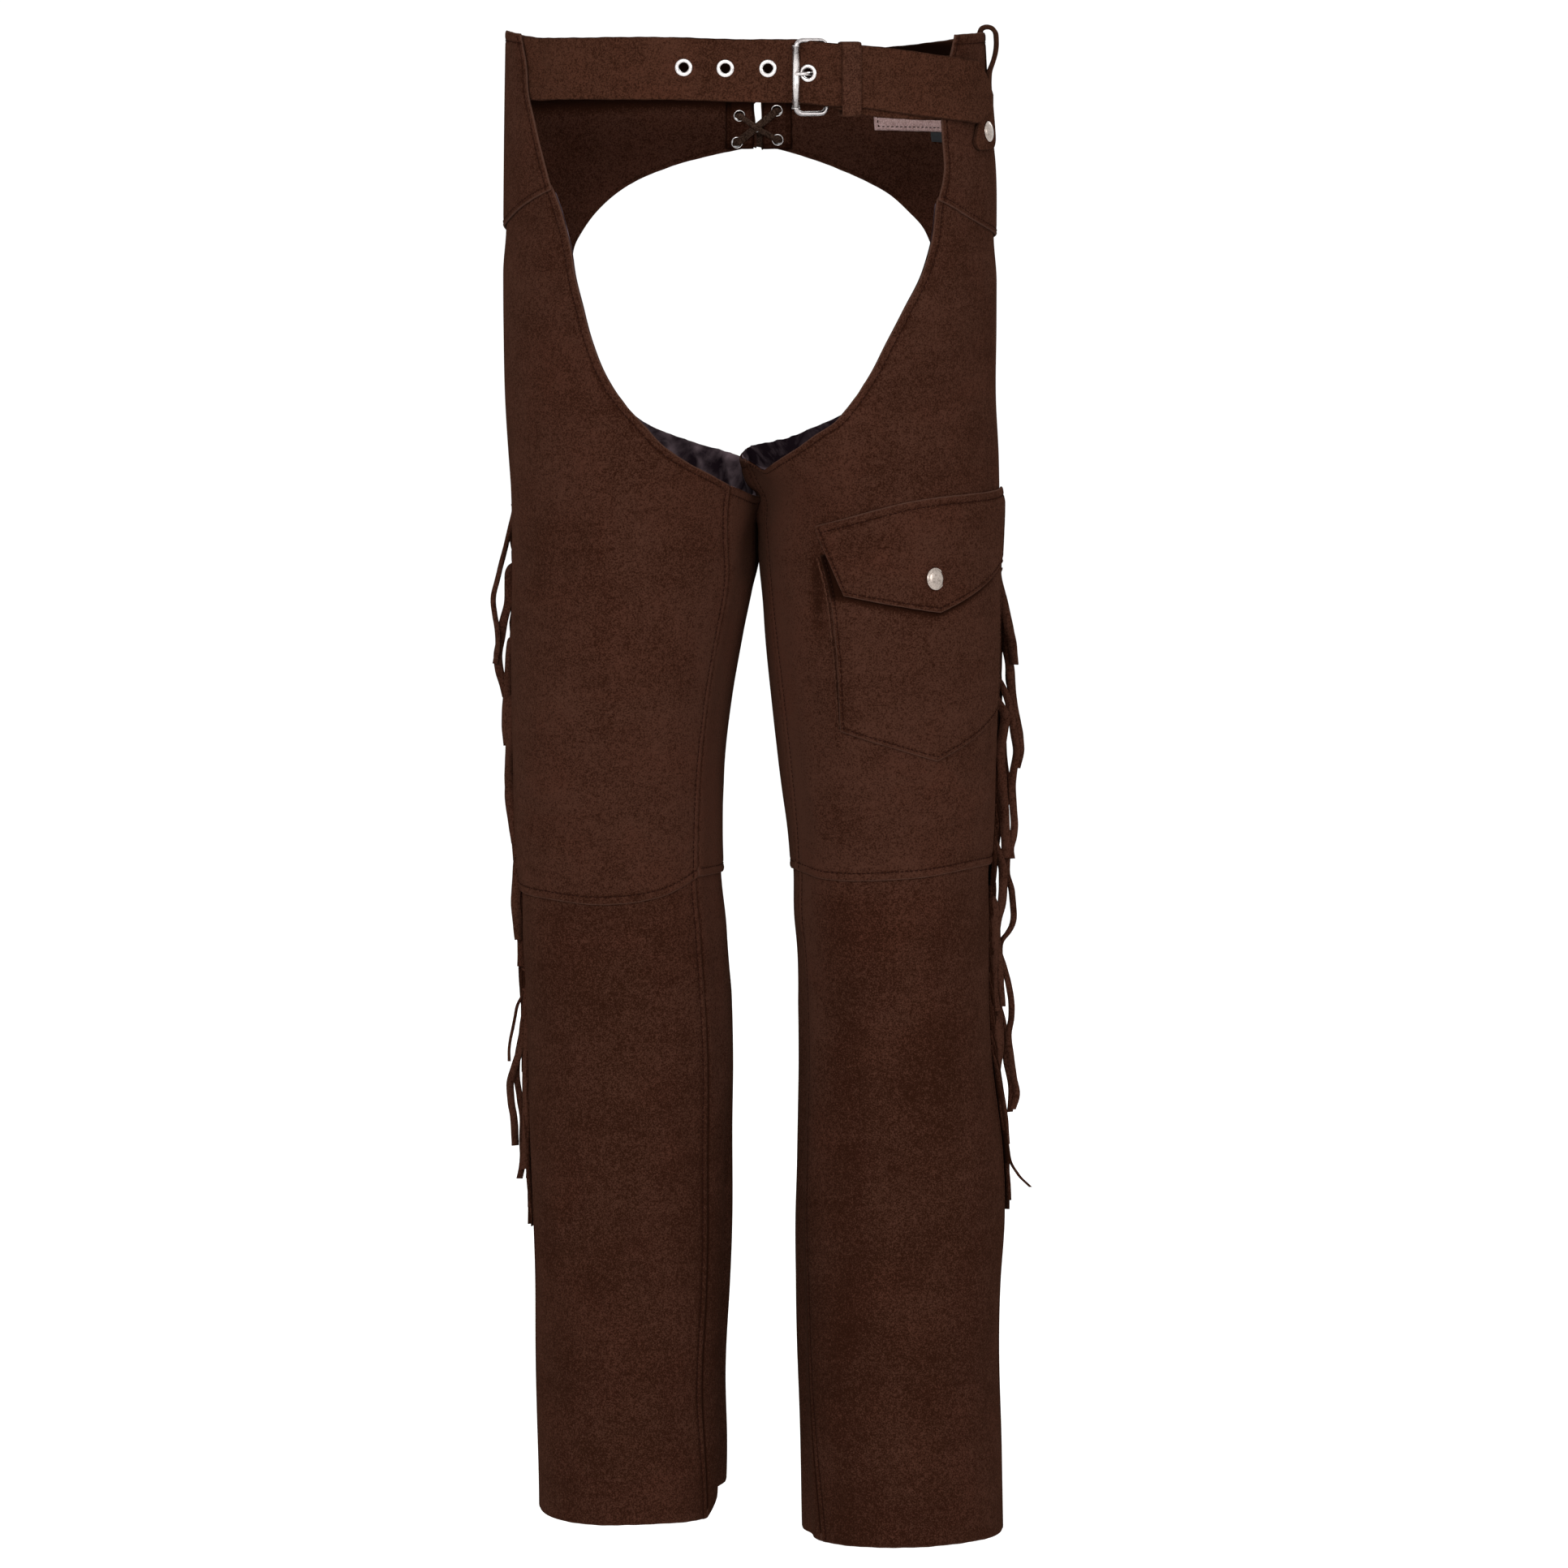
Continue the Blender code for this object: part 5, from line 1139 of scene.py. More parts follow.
BELT_EYELETS = ((-44, -20.4), (-16, -20.9), (12.7, -21.0), (39.4, -24.2), (68.4, -25.2))
BELT_HOLE, BELT_BARREL, BELT_FLANGE, BELT_LIP = 3.4 * MM, 3.65 * MM, 6.0 * MM, 0.9 * MM
STRAP_TABLE = np.array(STRAP_ROWS) * (MM, MM, MM, 1)


def at_front(across, out, height):
    """Points on or off the front of the waist."""
    across, out, height = np.broadcast_arrays(across, out, height)
    angles = [place_at(LEFT, x, z) for x, z in zip(across.ravel(), height.ravel())]
    return surface(LEFT, np.reshape(angles, across.shape), height, out)


def on_strap(across, half, way):
    """Points of the strap: way across the waist, place in its width (-1 to 1), way out of its face."""
    out, middle, share = (smooth(across, STRAP_TABLE[:, 0], STRAP_TABLE[:, c]) for c in (1, 2, 3))
    ripple = 0.35 * MM * np.sin(across / (23 * MM)) * np.sin(half * 1.4 + across / (41 * MM))
    return at_front(across, out + STRAP + way, middle + ripple + half * share * STRAP_WIDTH / 2)


u, v = steps(0.375, 2.6 * MM), 2 * steps(0.042, 2.4 * MM) - 1
across = STRAP_TABLE[0, 0] + u * np.ptp(STRAP_TABLE[:, 0])
places = np.stack(np.meshgrid(across, v), -1)
strap, _ = cut_sheet("belt_strap_suede", on_strap, places, thick=STRAP, tone=0.06)
profile = [(BELT_HOLE, -STRAP)]
profile += [(r, z + 0.1 * MM) for r, z in rolled(BELT_HOLE, BELT_FLANGE, BELT_LIP, 11)]
profile += [(BELT_BARREL, 0.1 * MM), (BELT_BARREL, -STRAP)]
eyes, bores = [], []
for across, height in np.array(BELT_EYELETS) * MM:
    spot = np.array([across, across + 3 * MM, across - 3 * MM])
    out = smooth(spot, STRAP_TABLE[:, 0], STRAP_TABLE[:, 1]) + STRAP
    face = at_front(spot, out, height)
    above = at_front(across, out[0], height + 3 * MM) - at_front(across, out[0], height - 3 * MM)
    centre, axis = (face[1] + face[2]) / 2, np.cross(face[1] - face[2], above)
    bores.append(bore(BELT_BARREL, -6 * MM, 3 * MM, EYE_SIDES, centre, axis))
    eyes.append(turned(profile, EYE_SIDES, centre, axis, closed=True))
pierce(strap, bores)
dress(strap, ["belt_strap"], belt_suede)
dress(joined("belt_eyelets", eyes, [in_barrel(profile, BELT_HOLE, len(eyes))]),
      [f"belt_eyelet_{number}" for number in range(1, 6)], nickel)

BILLET = 2.4 * MM
BILLET_ROWS = (
    # across, out of the outer face, height of the middle, width
    (53, 0.0, -26.8, 39.4),
    (60, 0.0, -28.0, 41),
    (74, 0.0, -30.6, 43),
    (90, 0.0, -33.0, 43),
    (112, -0.1, -34.6, 43),
    (128, -2.3, -35.4, 43),
    (148, -2.3, -35.8, 43),
)
BILLET_RETURN = ((57, -6.0), (62, -4.6), (68, -3.2), (76, -3.0), (88, -3.0))  # across, out behind the fold
BAR_ACROSS, BAR_OUT, BAR_RADIUS = 53 * MM, -4.4 * MM, 1.6 * MM
FOLD_INSIDE = BAR_RADIUS + 0.3 * MM
FOLD_OUTSIDE = FOLD_INSIDE + BILLET
PRONG_HEIGHT, PRONG_SLOT = -24.6 * MM, 2.6 * MM  # middle and half height of the slot for the prong
bar = np.array((BAR_ACROSS, BAR_OUT))
billet_table = np.array(BILLET_ROWS) * MM
path = []  # across and out of the outer face, across and out of the inner one, middle, width
for across in np.linspace(148, 53, 40) * MM:
    out, height, width = (smooth(across, billet_table[:, 0], billet_table[:, c]) for c in (1, 2, 3))
    path.append((across, out, across, out - BILLET, height, width))
for turn in np.radians(np.arange(102, 271, 12)):
    way = np.array((math.cos(turn), math.sin(turn)))
    path.append((*(bar + FOLD_OUTSIDE * way), *(bar + FOLD_INSIDE * way), height, width))
for across, out in np.array(BILLET_RETURN) * MM:
    path.append((across, out - BILLET, across, out, height, width))
path = np.array(path)
half = 2 * steps(0.042, 2.6 * MM) - 1
faces = [
    at_front(path[:, face, None], path[:, face + 1, None], path[:, 4, None] + half * path[:, 5, None] / 2)
    for face in (0, 2)
]
billet = shell("belt_billet_suede", *faces, tone=0.05)
slot = [
    at_front(across, out, PRONG_HEIGHT + way)
    for out in (2 * MM, -11 * MM)
    for way in (-PRONG_SLOT, PRONG_SLOT)
    for across in (BAR_ACROSS - 8 * MM, BAR_ACROSS + 4.6 * MM)
]
pierce(billet, [(slot, [(0, 1, 3, 2), (4, 6, 7, 5), (0, 4, 5, 1), (2, 3, 7, 6), (0, 2, 6, 4), (1, 5, 7, 3)])])
dress(billet, ["belt_billet"], belt_suede)


def rounded(low, high, radius, count):
    """Places round a rectangle with rounded corners."""
    places = []
    for right, up, start in ((1, 1, 0), (0, 1, 90), (0, 0, 180), (1, 0, 270)):
        x = high[0] - radius if right else low[0] + radius
        y = high[1] - radius if up else low[1] + radius
        for t in np.radians(np.linspace(start, start + 90, count)):
            places.append((x + radius * math.cos(t), y + radius * math.sin(t)))
    return np.array(places)


def evened(places, count):
    """A closed line again, through as many evenly spaced places as count."""
    places = np.concatenate([places, places[:1]])
    gone = travel(places, 0)[0]
    at = np.linspace(0, gone[-1], count, endpoint=False)
    return np.stack([np.interp(at, gone, places[:, c]) for c in (0, 1)], -1)


KEEPER_ACROSS, KEEPER_WIDTH, KEEPER = 67.8 * MM, 12.4 * MM, 1.5 * MM
KEEPER_LOW, KEEPER_HIGH = np.array((-9.4, -53.6)) * MM, np.array((6.6, -3.2)) * MM  # out, height
KEEPER_ROUND, KEEPER_POINTS = 3.0 * MM, 96
band = steps(KEEPER_WIDTH, 1.6 * MM, False) * 2 - 1
rings = []
for grow in (KEEPER, 0):
    less = KEEPER - grow
    corners = rounded(KEEPER_LOW + less, KEEPER_HIGH - less, KEEPER_ROUND - less, 8)
    out, height = evened(corners, KEEPER_POINTS).T
    rings.append([at_front(KEEPER_ACROSS + way * KEEPER_WIDTH / 2, out, height) for way in band])
outside, inside = np.array(rings)
soft = ((outside + inside) / 2)[[0, -1]]
outside[[0, -1]] = 0.75 * outside[[0, -1]] + 0.25 * inside[[0, -1]]
keeper = joined("belt_keeper_suede", [tube([*outside, soft[1], *inside[::-1], soft[0]], closed=True)])
dress(keeper, ["belt_keeper"], whole_suede)


# ------------------------------------------------------------------ roller buckle
# A bent nickel rod in a rectangle, held by the billet round one side. The other side carries a
# loose roller, and a prong turns on the bar and goes through an eyelet.

ROLLER_ACROSS, ROLLER_OUT = 31.2 * MM, 2.2 * MM
ROLLER_RADIUS, ROLLER_BORE, ROLLER_LENGTH = 2.8 * MM, 2.0 * MM, 42.4 * MM
BUCKLE_HEIGHT, BUCKLE_CORNER, BUCKLE_MIDDLE, BUCKLE_POINTS = 49.2 * MM, 5 * MM, -26.8 * MM, 113
PRONG_RADIUS = 1.15 * MM
PRONG_PATH = (  # across, out
    (49.2, -6.2), (46.0, -4.2), (42.6, -3.4), (40.4, -2.2), (39.5, 0.2), (38.9, 2.6), (37.0, 4.7),
    (34.0, 5.9), (30.6, 6.5),
)


def rod(path, sides, radii, closed=False):
    """Points and faces of a round rod along a path, with a radius at each point."""
    tangents = np.roll(path, -1, 0) - np.roll(path, 1, 0) if closed else np.gradient(path, axis=0)
    turns = np.linspace(0, 2 * math.pi, sides, endpoint=False)
    loops = []
    for point, tangent, radius in zip(path, tangents, np.broadcast_to(radii, len(path))):
        tangent = tangent / np.linalg.norm(tangent)
        first = np.array((0.13, -1.0, 0.08))
        first -= tangent * (first @ tangent)
        first /= np.linalg.norm(first)
        second = np.cross(tangent, first)
        loops.append([point + radius * (math.cos(turn) * first + math.sin(turn) * second) for turn in turns])
    return tube(loops, closed)


depth = math.hypot(BAR_ACROSS - ROLLER_ACROSS, BAR_OUT - ROLLER_OUT)
low, high = (0, BUCKLE_MIDDLE - BUCKLE_HEIGHT / 2), (depth, BUCKLE_MIDDLE + BUCKLE_HEIGHT / 2)
line = evened(rounded(low, high, BUCKLE_CORNER, 12), BUCKLE_POINTS)
share = line[:, 0] / depth
frame_line = at_front(ROLLER_ACROSS + share * (BAR_ACROSS - ROLLER_ACROSS),
                      ROLLER_OUT + share * (BAR_OUT - ROLLER_OUT), line[:, 1])
buckle = joined("buckle_rod", [rod(frame_line, 18, BAR_RADIUS, closed=True)])
dress(buckle, ["buckle_frame"], rod_nickel)

half = ROLLER_LENGTH / 2
ends = [at_front(ROLLER_ACROSS, ROLLER_OUT, BUCKLE_MIDDLE + way * half) for way in (-1, 1)]
profile = [(ROLLER_BORE, -half)]
for way in (-1, 1):
    for t in np.radians(np.linspace(0, 90, 6)[:: -way]):
        radius = ROLLER_RADIUS - 0.4 * MM * (1 - math.cos(t))
        profile.append((radius, way * (half - 0.5 * MM * (1 - math.sin(t)))))
profile.append((ROLLER_BORE, half))
roller = joined("buckle_roller_tube", [turned(profile, 40, sum(ends) / 2, ends[1] - ends[0], closed=True)])
dress(roller, ["buckle_roller"], nickel)

reach = BAR_RADIUS + 0.25 * MM + PRONG_RADIUS
turn = np.radians(np.linspace(150, -125, 24))
round_bar = bar + reach * np.stack([np.cos(turn), np.sin(turn)], -1)
prong_line = np.concatenate([round_bar, np.array(PRONG_PATH) * MM])
gone = travel(prong_line, 0)[0]
fine = np.linspace(0, gone[-1], 90)
across, out = (smooth(fine, gone, prong_line[:, c]) for c in (0, 1))
radii = PRONG_RADIUS * (1 - 0.45 * ramp(fine, gone[-1] - 4 * MM, gone[-1]))
prong = joined("buckle_prong_wire", [rod(at_front(across, out, PRONG_HEIGHT), 14, radii)])
dress(prong, ["buckle_prong"], nickel)


# ------------------------------------------------------------------ loop strap and snap caps
# A suede strap that is sewn inside the left yoke, goes up over its top in a loop and down its
# outside to a domed nickel snap. The same snap closes the thigh pocket.

LOOP_ROWS = (
    # out, height, angle
    (-3.0, -16, 90), (-3.0, -0.6, 90), (-1.8, 1.8, 90), (1.2, 3.2, 90), (4.6, 2.8, 90), (7.0, 0.2, 90),
    (7.8, -7, 89.5), (6.9, -14, 89), (4.6, -21, 88), (2.3, -27, 86.5), (1.5, -33, 85), (1.5, -50, 79.5),
    (1.5, -79, 70.5),
)
LOOP_HALF_WIDTH = 6.8  # degrees
LOOP_HALF_THICK = 1.3 * MM
LOOP_FACE = LOOP_ROWS[-1][0] * MM + LOOP_HALF_THICK  # way out of its face under the snap
loop_rows = np.array(LOOP_ROWS) * (MM, MM, 1)
gone = travel(loop_rows[:, :2], 0)[0]
fine = np.unique([*np.linspace(0, gone[-1], 90), gone[-1] - 0.8 * MM])
loop_line = np.stack([smooth(fine, gone, loop_rows[:, c]) for c in range(3)], -1)
way = np.gradient(loop_line[:, :2], axis=0)
normals = np.stack([-way[:, 1], way[:, 0]], -1)
normals /= np.linalg.norm(normals, axis=1, keepdims=True)
half = 2 * steps(0.018, 1.8 * MM, False) - 1
end = np.clip((fine - gone[-1] + 9 * MM) / (9 * MM), 0, 1)  # the end is cut to a soft point
narrow = np.sqrt(1 - 0.72 * end**2) * (1 + 0.5 * ramp(fine, gone[-1] - 42 * MM, gone[-1] - 22 * MM))
faces = []
for side_way in (-1, 1):
    moved = loop_line[:, :2] + side_way * LOOP_HALF_THICK * normals
    faces.append(surface(LEFT, loop_line[:, 2, None] + half * LOOP_HALF_WIDTH * narrow[:, None],
                         np.broadcast_to(moved[:, 1, None], (len(fine), len(half))), moved[:, 0, None]))
loop = shell("hip_loop_suede", *faces, tone=0.0)
dress(loop, ["hip_loop"], belt_suede)

snap_nickel = worn_nickel("snap_nickel", (0.23, 0.19, 0.165), (0.45, 0.385, 0.34))


def snap_cap(name, side, angle, height, radius, out_at, cad_node, turn):
    """A domed cap with a rolled rim on a sheet, pulled round to the outer side by some degrees."""
    def on_sheet(aside, up):
        place = (angle + aside, height * MM + up)
        return surface(side, *place, out_at(*place))

    axis = side * np.cross(on_sheet(2, 0) - on_sheet(-2, 0), on_sheet(0, 3 * MM) - on_sheet(0, -3 * MM))
    axis = np.array(Vector(axis).normalized()) @ np.array(
        ((math.cos(math.radians(turn)), math.sin(math.radians(turn)), 0),
         (-math.sin(math.radians(turn)), math.cos(math.radians(turn)), 0), (0, 0, 1)))
    radius = radius * MM
    profile = [(0, -MM), (radius * 0.8, -MM), (radius * 0.93, 0.0)]
    profile += [
        (radius - 0.45 * MM + 0.5 * MM * math.cos(t), 0.6 * MM + 0.5 * MM * math.sin(t))
        for t in np.radians(np.linspace(-70, 120, 9))
    ]
    profile += [
        (radius * 0.86 * math.cos(t), 0.9 * MM + 1.5 * MM * math.sin(t))
        for t in np.radians(np.linspace(8, 84, 9))
    ]
    cap = joined(name, [turned([*profile, (0, 2.4 * MM)], 40, on_sheet(0, 0), axis)])
    dress(cap, [cad_node], snap_nickel)


snap_cap("hip_snap", LEFT, 72.4, -67, 6.9, lambda angle, height: LOOP_FACE, "hip_snap_cap", -5)


# ------------------------------------------------------------------ thigh pocket
# A patch pocket on the left thigh under a pointed flap, both suede and topstitched, that stand
# a little off the leg in the middle. Its inner side has a narrow gathered gusset.

POCKET = {
    "left": ((-23, -472), (-22.6, -415), (-26, -370), (-29.3, -352)),
    "right": ((74, -463), (76, -400), (80, -336)),
    "bottom": ((-23, -472), (25.6, -493), (74, -463)),
    "top": ((-29.3, -352), (11, -341), (80, -336)),
}
FLAP = {
    "left": ((-17.6, -378.5), (-24.5, -356), (-32, -332)),
    "right": ((71, -361), (78, -336), (83.5, -311)),
    "bottom": ((-17.6, -378.5), (25.7, -390), (71, -361)),
    "top": ((-32, -332), (11, -315), (83.5, -311)),
}
POCKET_MIDDLE, POCKET_REACH, POCKET_TILT, POCKET_PUFF = (25.6, -411), (54, 66), 0.15, 3.0 * MM
POCKET_STAND = 0.5 * MM


def pocket_out(angle, height):
    """Way out of the pocket's outer face."""
    across = (angle - POCKET_MIDDLE[0]) / POCKET_REACH[0]
    level = height - (POCKET_MIDDLE[1] + POCKET_TILT * (angle - POCKET_MIDDLE[0])) * MM
    up = level / (POCKET_REACH[1] * MM)
    puff = POCKET_PUFF * np.clip(1 - across**2, 0, 1) * np.clip(1 - up**2, 0, 1)
    pull = (angle - 24) / 9, (height + 367 * MM) / (14 * MM)  # the snap draws the cloth down beside it
    puff = puff - 1.5 * MM * pull[0] * np.exp(-(pull[0] ** 2) - pull[1] ** 2)
    slump = 0.7 * MM * np.sin(across * 4 + 3 * up) * np.clip(1 - across**2, 0, 1) * np.clip(1 - up**2, 0, 1)
    return POCKET_STAND + SUEDE + puff + slump


def flap_out(angle, height):
    """Way out of the flap's outer face: on the leg at its top, over the pocket below."""
    level = height - POCKET_TILT * (angle - POCKET_MIDDLE[0]) * MM
    lift = ramp(-level, 318 * MM, 331 * MM) * (POCKET_STAND + SUEDE)
    lift = lift + 1.2 * MM * ramp(-level, 345 * MM, 392 * MM)  # its free edge lifts a little
    return pocket_out(angle, height) + lift


def on_leg(out_at):
    """The way from a place and a way out of the cloth to a point, for a sheet on the left leg."""
    return lambda angle, height, way: surface(LEFT, angle, height, out_at(angle, height) + way)


for name, edges, out_at, insets, cad_node in (
    ("thigh_pocket", POCKET, pocket_out, {"left": 3, "right": 3, "bottom": 3}, "pocket_body"),
    ("thigh_pocket_flap", FLAP, flap_out, {"left": 3, "right": 3, "bottom": 3.2, "top": 5.5}, "pocket_flap"),
):
    u, v = steps(0.16, 3.2 * MM), steps(0.13 if out_at is pocket_out else 0.065, 3.2 * MM)
    places = patch(run(edges["left"], v), run(edges["right"], v), run(edges["bottom"], u, straight=True),
                   run(edges["top"], u), u)
    tone = leg_tone(LEFT, places[..., 0], places[..., 1]) + 0.06
    if out_at is pocket_out:  # dark under the flap's free edge
        # Painted shadow on the pocket under the flap's free edge.
        low = np.interp(places[..., 0], *np.array(FLAP["bottom"]).T) * MM - places[..., 1]
        tone = tone - 1.1 * ramp(-low, -7.5 * MM, -0.5 * MM)
    pocket, flat = cut_sheet(name, on_leg(out_at), places, kind="pocket", tone=tone,
                             stitched={edge: inset * MM for edge, inset in insets.items()})
    dress(pocket, [cad_node], suede, flat)

gusset = run(((-23.2, -470), (-24.0, -415), (-27.4, -370), (-30.4, -354)), np.linspace(0, 1, 110))
line = np.arange(len(gusset))
fold = [
    surface(LEFT, gusset[:, 0] - wide + 0.12 * np.sin(line * 0.9 + wide), gusset[:, 1],
            (0.4 + high + 0.15 * np.sin(line * 0.7 + 2 * wide)) * MM)
    for wide, high in ((0.1, 0.2), (0.6, 0.0), (1.1, 0.2), (1.2, 0.6), (0.9, 0.9), (0.5, 1.0), (0.15, 0.8))
]
gusset = joined("pocket_gusset", [tube(np.stack(fold, axis=1))])
dress(gusset, [], whole_suede)
snap_cap("pocket_snap", LEFT, 23.6, -367.0, 7.6, flap_out, "pocket_snap_cap", 13)


# ------------------------------------------------------------------ label and size tab
# A strip of pale bonded leather stitched inside the left yoke, bare, with a small black woven
# tab, also bare, under its end.

label_leather = brushed_suede("label_leather", (0.20, 0.125, 0.115), (0.34, 0.235, 0.225), False)
tab_cloth, tree, principled, place = shader("tab_cloth", 0.85)
tree.links.new(mixed(tree, noise(tree, place, 1300, 2), (0.0012, 0.0014, 0.0025), (0.0045, 0.005, 0.0075)),
               principled.inputs["Base Color"])


def inside_yoke(angle, height, way):
    """Points inside the left yoke, way in from the back of a strip that lies on it."""
    return surface(LEFT, angle, height, -(SUEDE + 0.4 * MM) - way - 1.0 * MM)


for name, slot_name, angles, heights, thick, material, stitched in (
    ("label", "label_leather", (127, 149), (-71, -42), 1.0, label_leather,
     {"bottom": 3 * MM, "left": 3 * MM, "right": 3 * MM}),
    ("label_tab", "tab_cloth", (128, 132.5), (-78, -71.8), 0.7, tab_cloth, {}),
):
    u, v = steps(0.055, 2 * MM), steps(0.029, 2 * MM, bool(stitched))
    angle = angles[0] + u * (angles[1] - angles[0])
    height = (heights[0] + v * (heights[1] - heights[0])) * MM
    places = np.stack(np.meshgrid(angle, height), -1)
    strip, _ = cut_sheet(name + "_strip", inside_yoke, places, thick=thick * MM, kind="label",
                         stitched=stitched)
    dress(strip, [name], material)


# ------------------------------------------------------------------ topstitching
# Lockstitch in matching brown thread, 3.3 mm a stitch, that sinks into the suede along the
# seams, the open edges, the pocket with its flap, the yokes and the label.

thread, tree, principled, place = shader("thread", 0.9)
tree.links.new(mixed(tree, noise(tree, place, 500, 2), (0.0060, 0.0022, 0.0016), (0.0150, 0.0055, 0.0038)),
               principled.inputs["Base Color"])
principled.inputs["Specular IOR Level"].default_value = 0


def drawn(name, lines):
    """An object of bare edges along lines of points."""
    edges, first = [], 0
    for line in lines:
        edges += [(first + i, first + i + 1) for i in range(len(line) - 1)]
        first += len(line)
    mesh = bpy.data.meshes.new(name)
    mesh.from_pydata([tuple(point) for line in lines for point in line], edges, [])
    made = bpy.data.objects.new(name, mesh)
    bpy.context.collection.objects.link(made)
    return made


def node_group(name, kinds):
    """A new geometry node group, with the identifiers and the sockets of its inputs."""
    tree = bpy.data.node_groups.new(name, "GeometryNodeTree")
    tree.interface.new_socket("Geometry", in_out="INPUT", socket_type="NodeSocketGeometry")
    sockets = {
        label: tree.interface.new_socket(label, in_out="INPUT", socket_type=f"NodeSocket{kind}").identifier
        for label, kind in kinds.items()
    }
    tree.interface.new_socket("Geometry", in_out="OUTPUT", socket_type="NodeSocketGeometry")
    return tree, sockets, tree.nodes.new("NodeGroupInput").outputs


def grown(made, tree, sockets, values):
    """An object with what a node group makes of it, for these values, as its own plain mesh."""
    modifier = made.modifiers.new(tree.name, "NODES")
    modifier.node_group = tree
    for label, value in values.items():
        modifier[sockets[label]] = value
    return plain(made)


def stitches(name, rows, pitch, length, radius):
    """One stitch at each step along the rows, made by geometry nodes and kept as a plain mesh."""
    tree, sockets, given = node_group("topstitching", {
        "Pitch": "Float", "Length": "Float", "Radius": "Float", "Thread": "Material", "Seed": "Int",
    })
    curve = node(tree, "GeometryNodeMeshToCurve", Mesh=given["Geometry"])
    line = tree.nodes.new("GeometryNodeResampleCurve")
    line.mode = "LENGTH"
    tree.links.new(curve.outputs[0], line.inputs["Curve"])
    tree.links.new(given["Pitch"], line.inputs["Length"])
    bead = tree.nodes.new("GeometryNodeMeshUVSphere")
    bead.inputs["Segments"].default_value = 6
    bead.inputs["Rings"].default_value = 4
    bead.inputs["Radius"].default_value = 1
    turn = tree.nodes.new("FunctionNodeAlignRotationToVector")
    turn.axis = "X"
    tree.links.new(tree.nodes.new("GeometryNodeInputTangent").outputs[0], turn.inputs["Vector"])
    uneven = tree.nodes.new("FunctionNodeRandomValue")
    uneven.inputs[2].default_value, uneven.inputs[3].default_value = 0.84, 1.08
    tree.links.new(given["Seed"], uneven.inputs["Seed"])
    half = sums(tree, "MULTIPLY", given["Length"], 0.5)
    long = sums(tree, "MULTIPLY", half, uneven.outputs[1])
    size = node(tree, "ShaderNodeCombineXYZ", X=long, Y=given["Radius"], Z=given["Radius"])
    placed = node(tree, "GeometryNodeInstanceOnPoints", Points=line.outputs[0], Instance=bead.outputs[0],
                  Rotation=turn.outputs[0], Scale=size.outputs[0])
    whole = node(tree, "GeometryNodeRealizeInstances", Geometry=placed.outputs[0])
    painted = node(tree, "GeometryNodeSetMaterial", Geometry=whole.outputs[0], Material=given["Thread"])
    shaded = node(tree, "GeometryNodeSetShadeSmooth", Geometry=painted.outputs[0])
    tree.links.new(shaded.outputs[0], tree.nodes.new("NodeGroupOutput").inputs[0])
    values = {"Pitch": pitch, "Length": length, "Radius": radius, "Thread": thread, "Seed": 4}
    return grown(drawn(name, rows), tree, sockets, values)


for kind, rows in stitch_rows.items():
    sewing = stitches(f"{kind}_topstitching", rows, 3.3 * MM, 2.6 * MM, 0.38 * MM)
    dress(sewing, [], thread)


# ------------------------------------------------------------------ fringe
# A strip of suede sewn into each outer seam and cut into hanging strands about 4 mm wide. Most
# hang close behind the seam; the rest stand out, cross and part again round long openings.

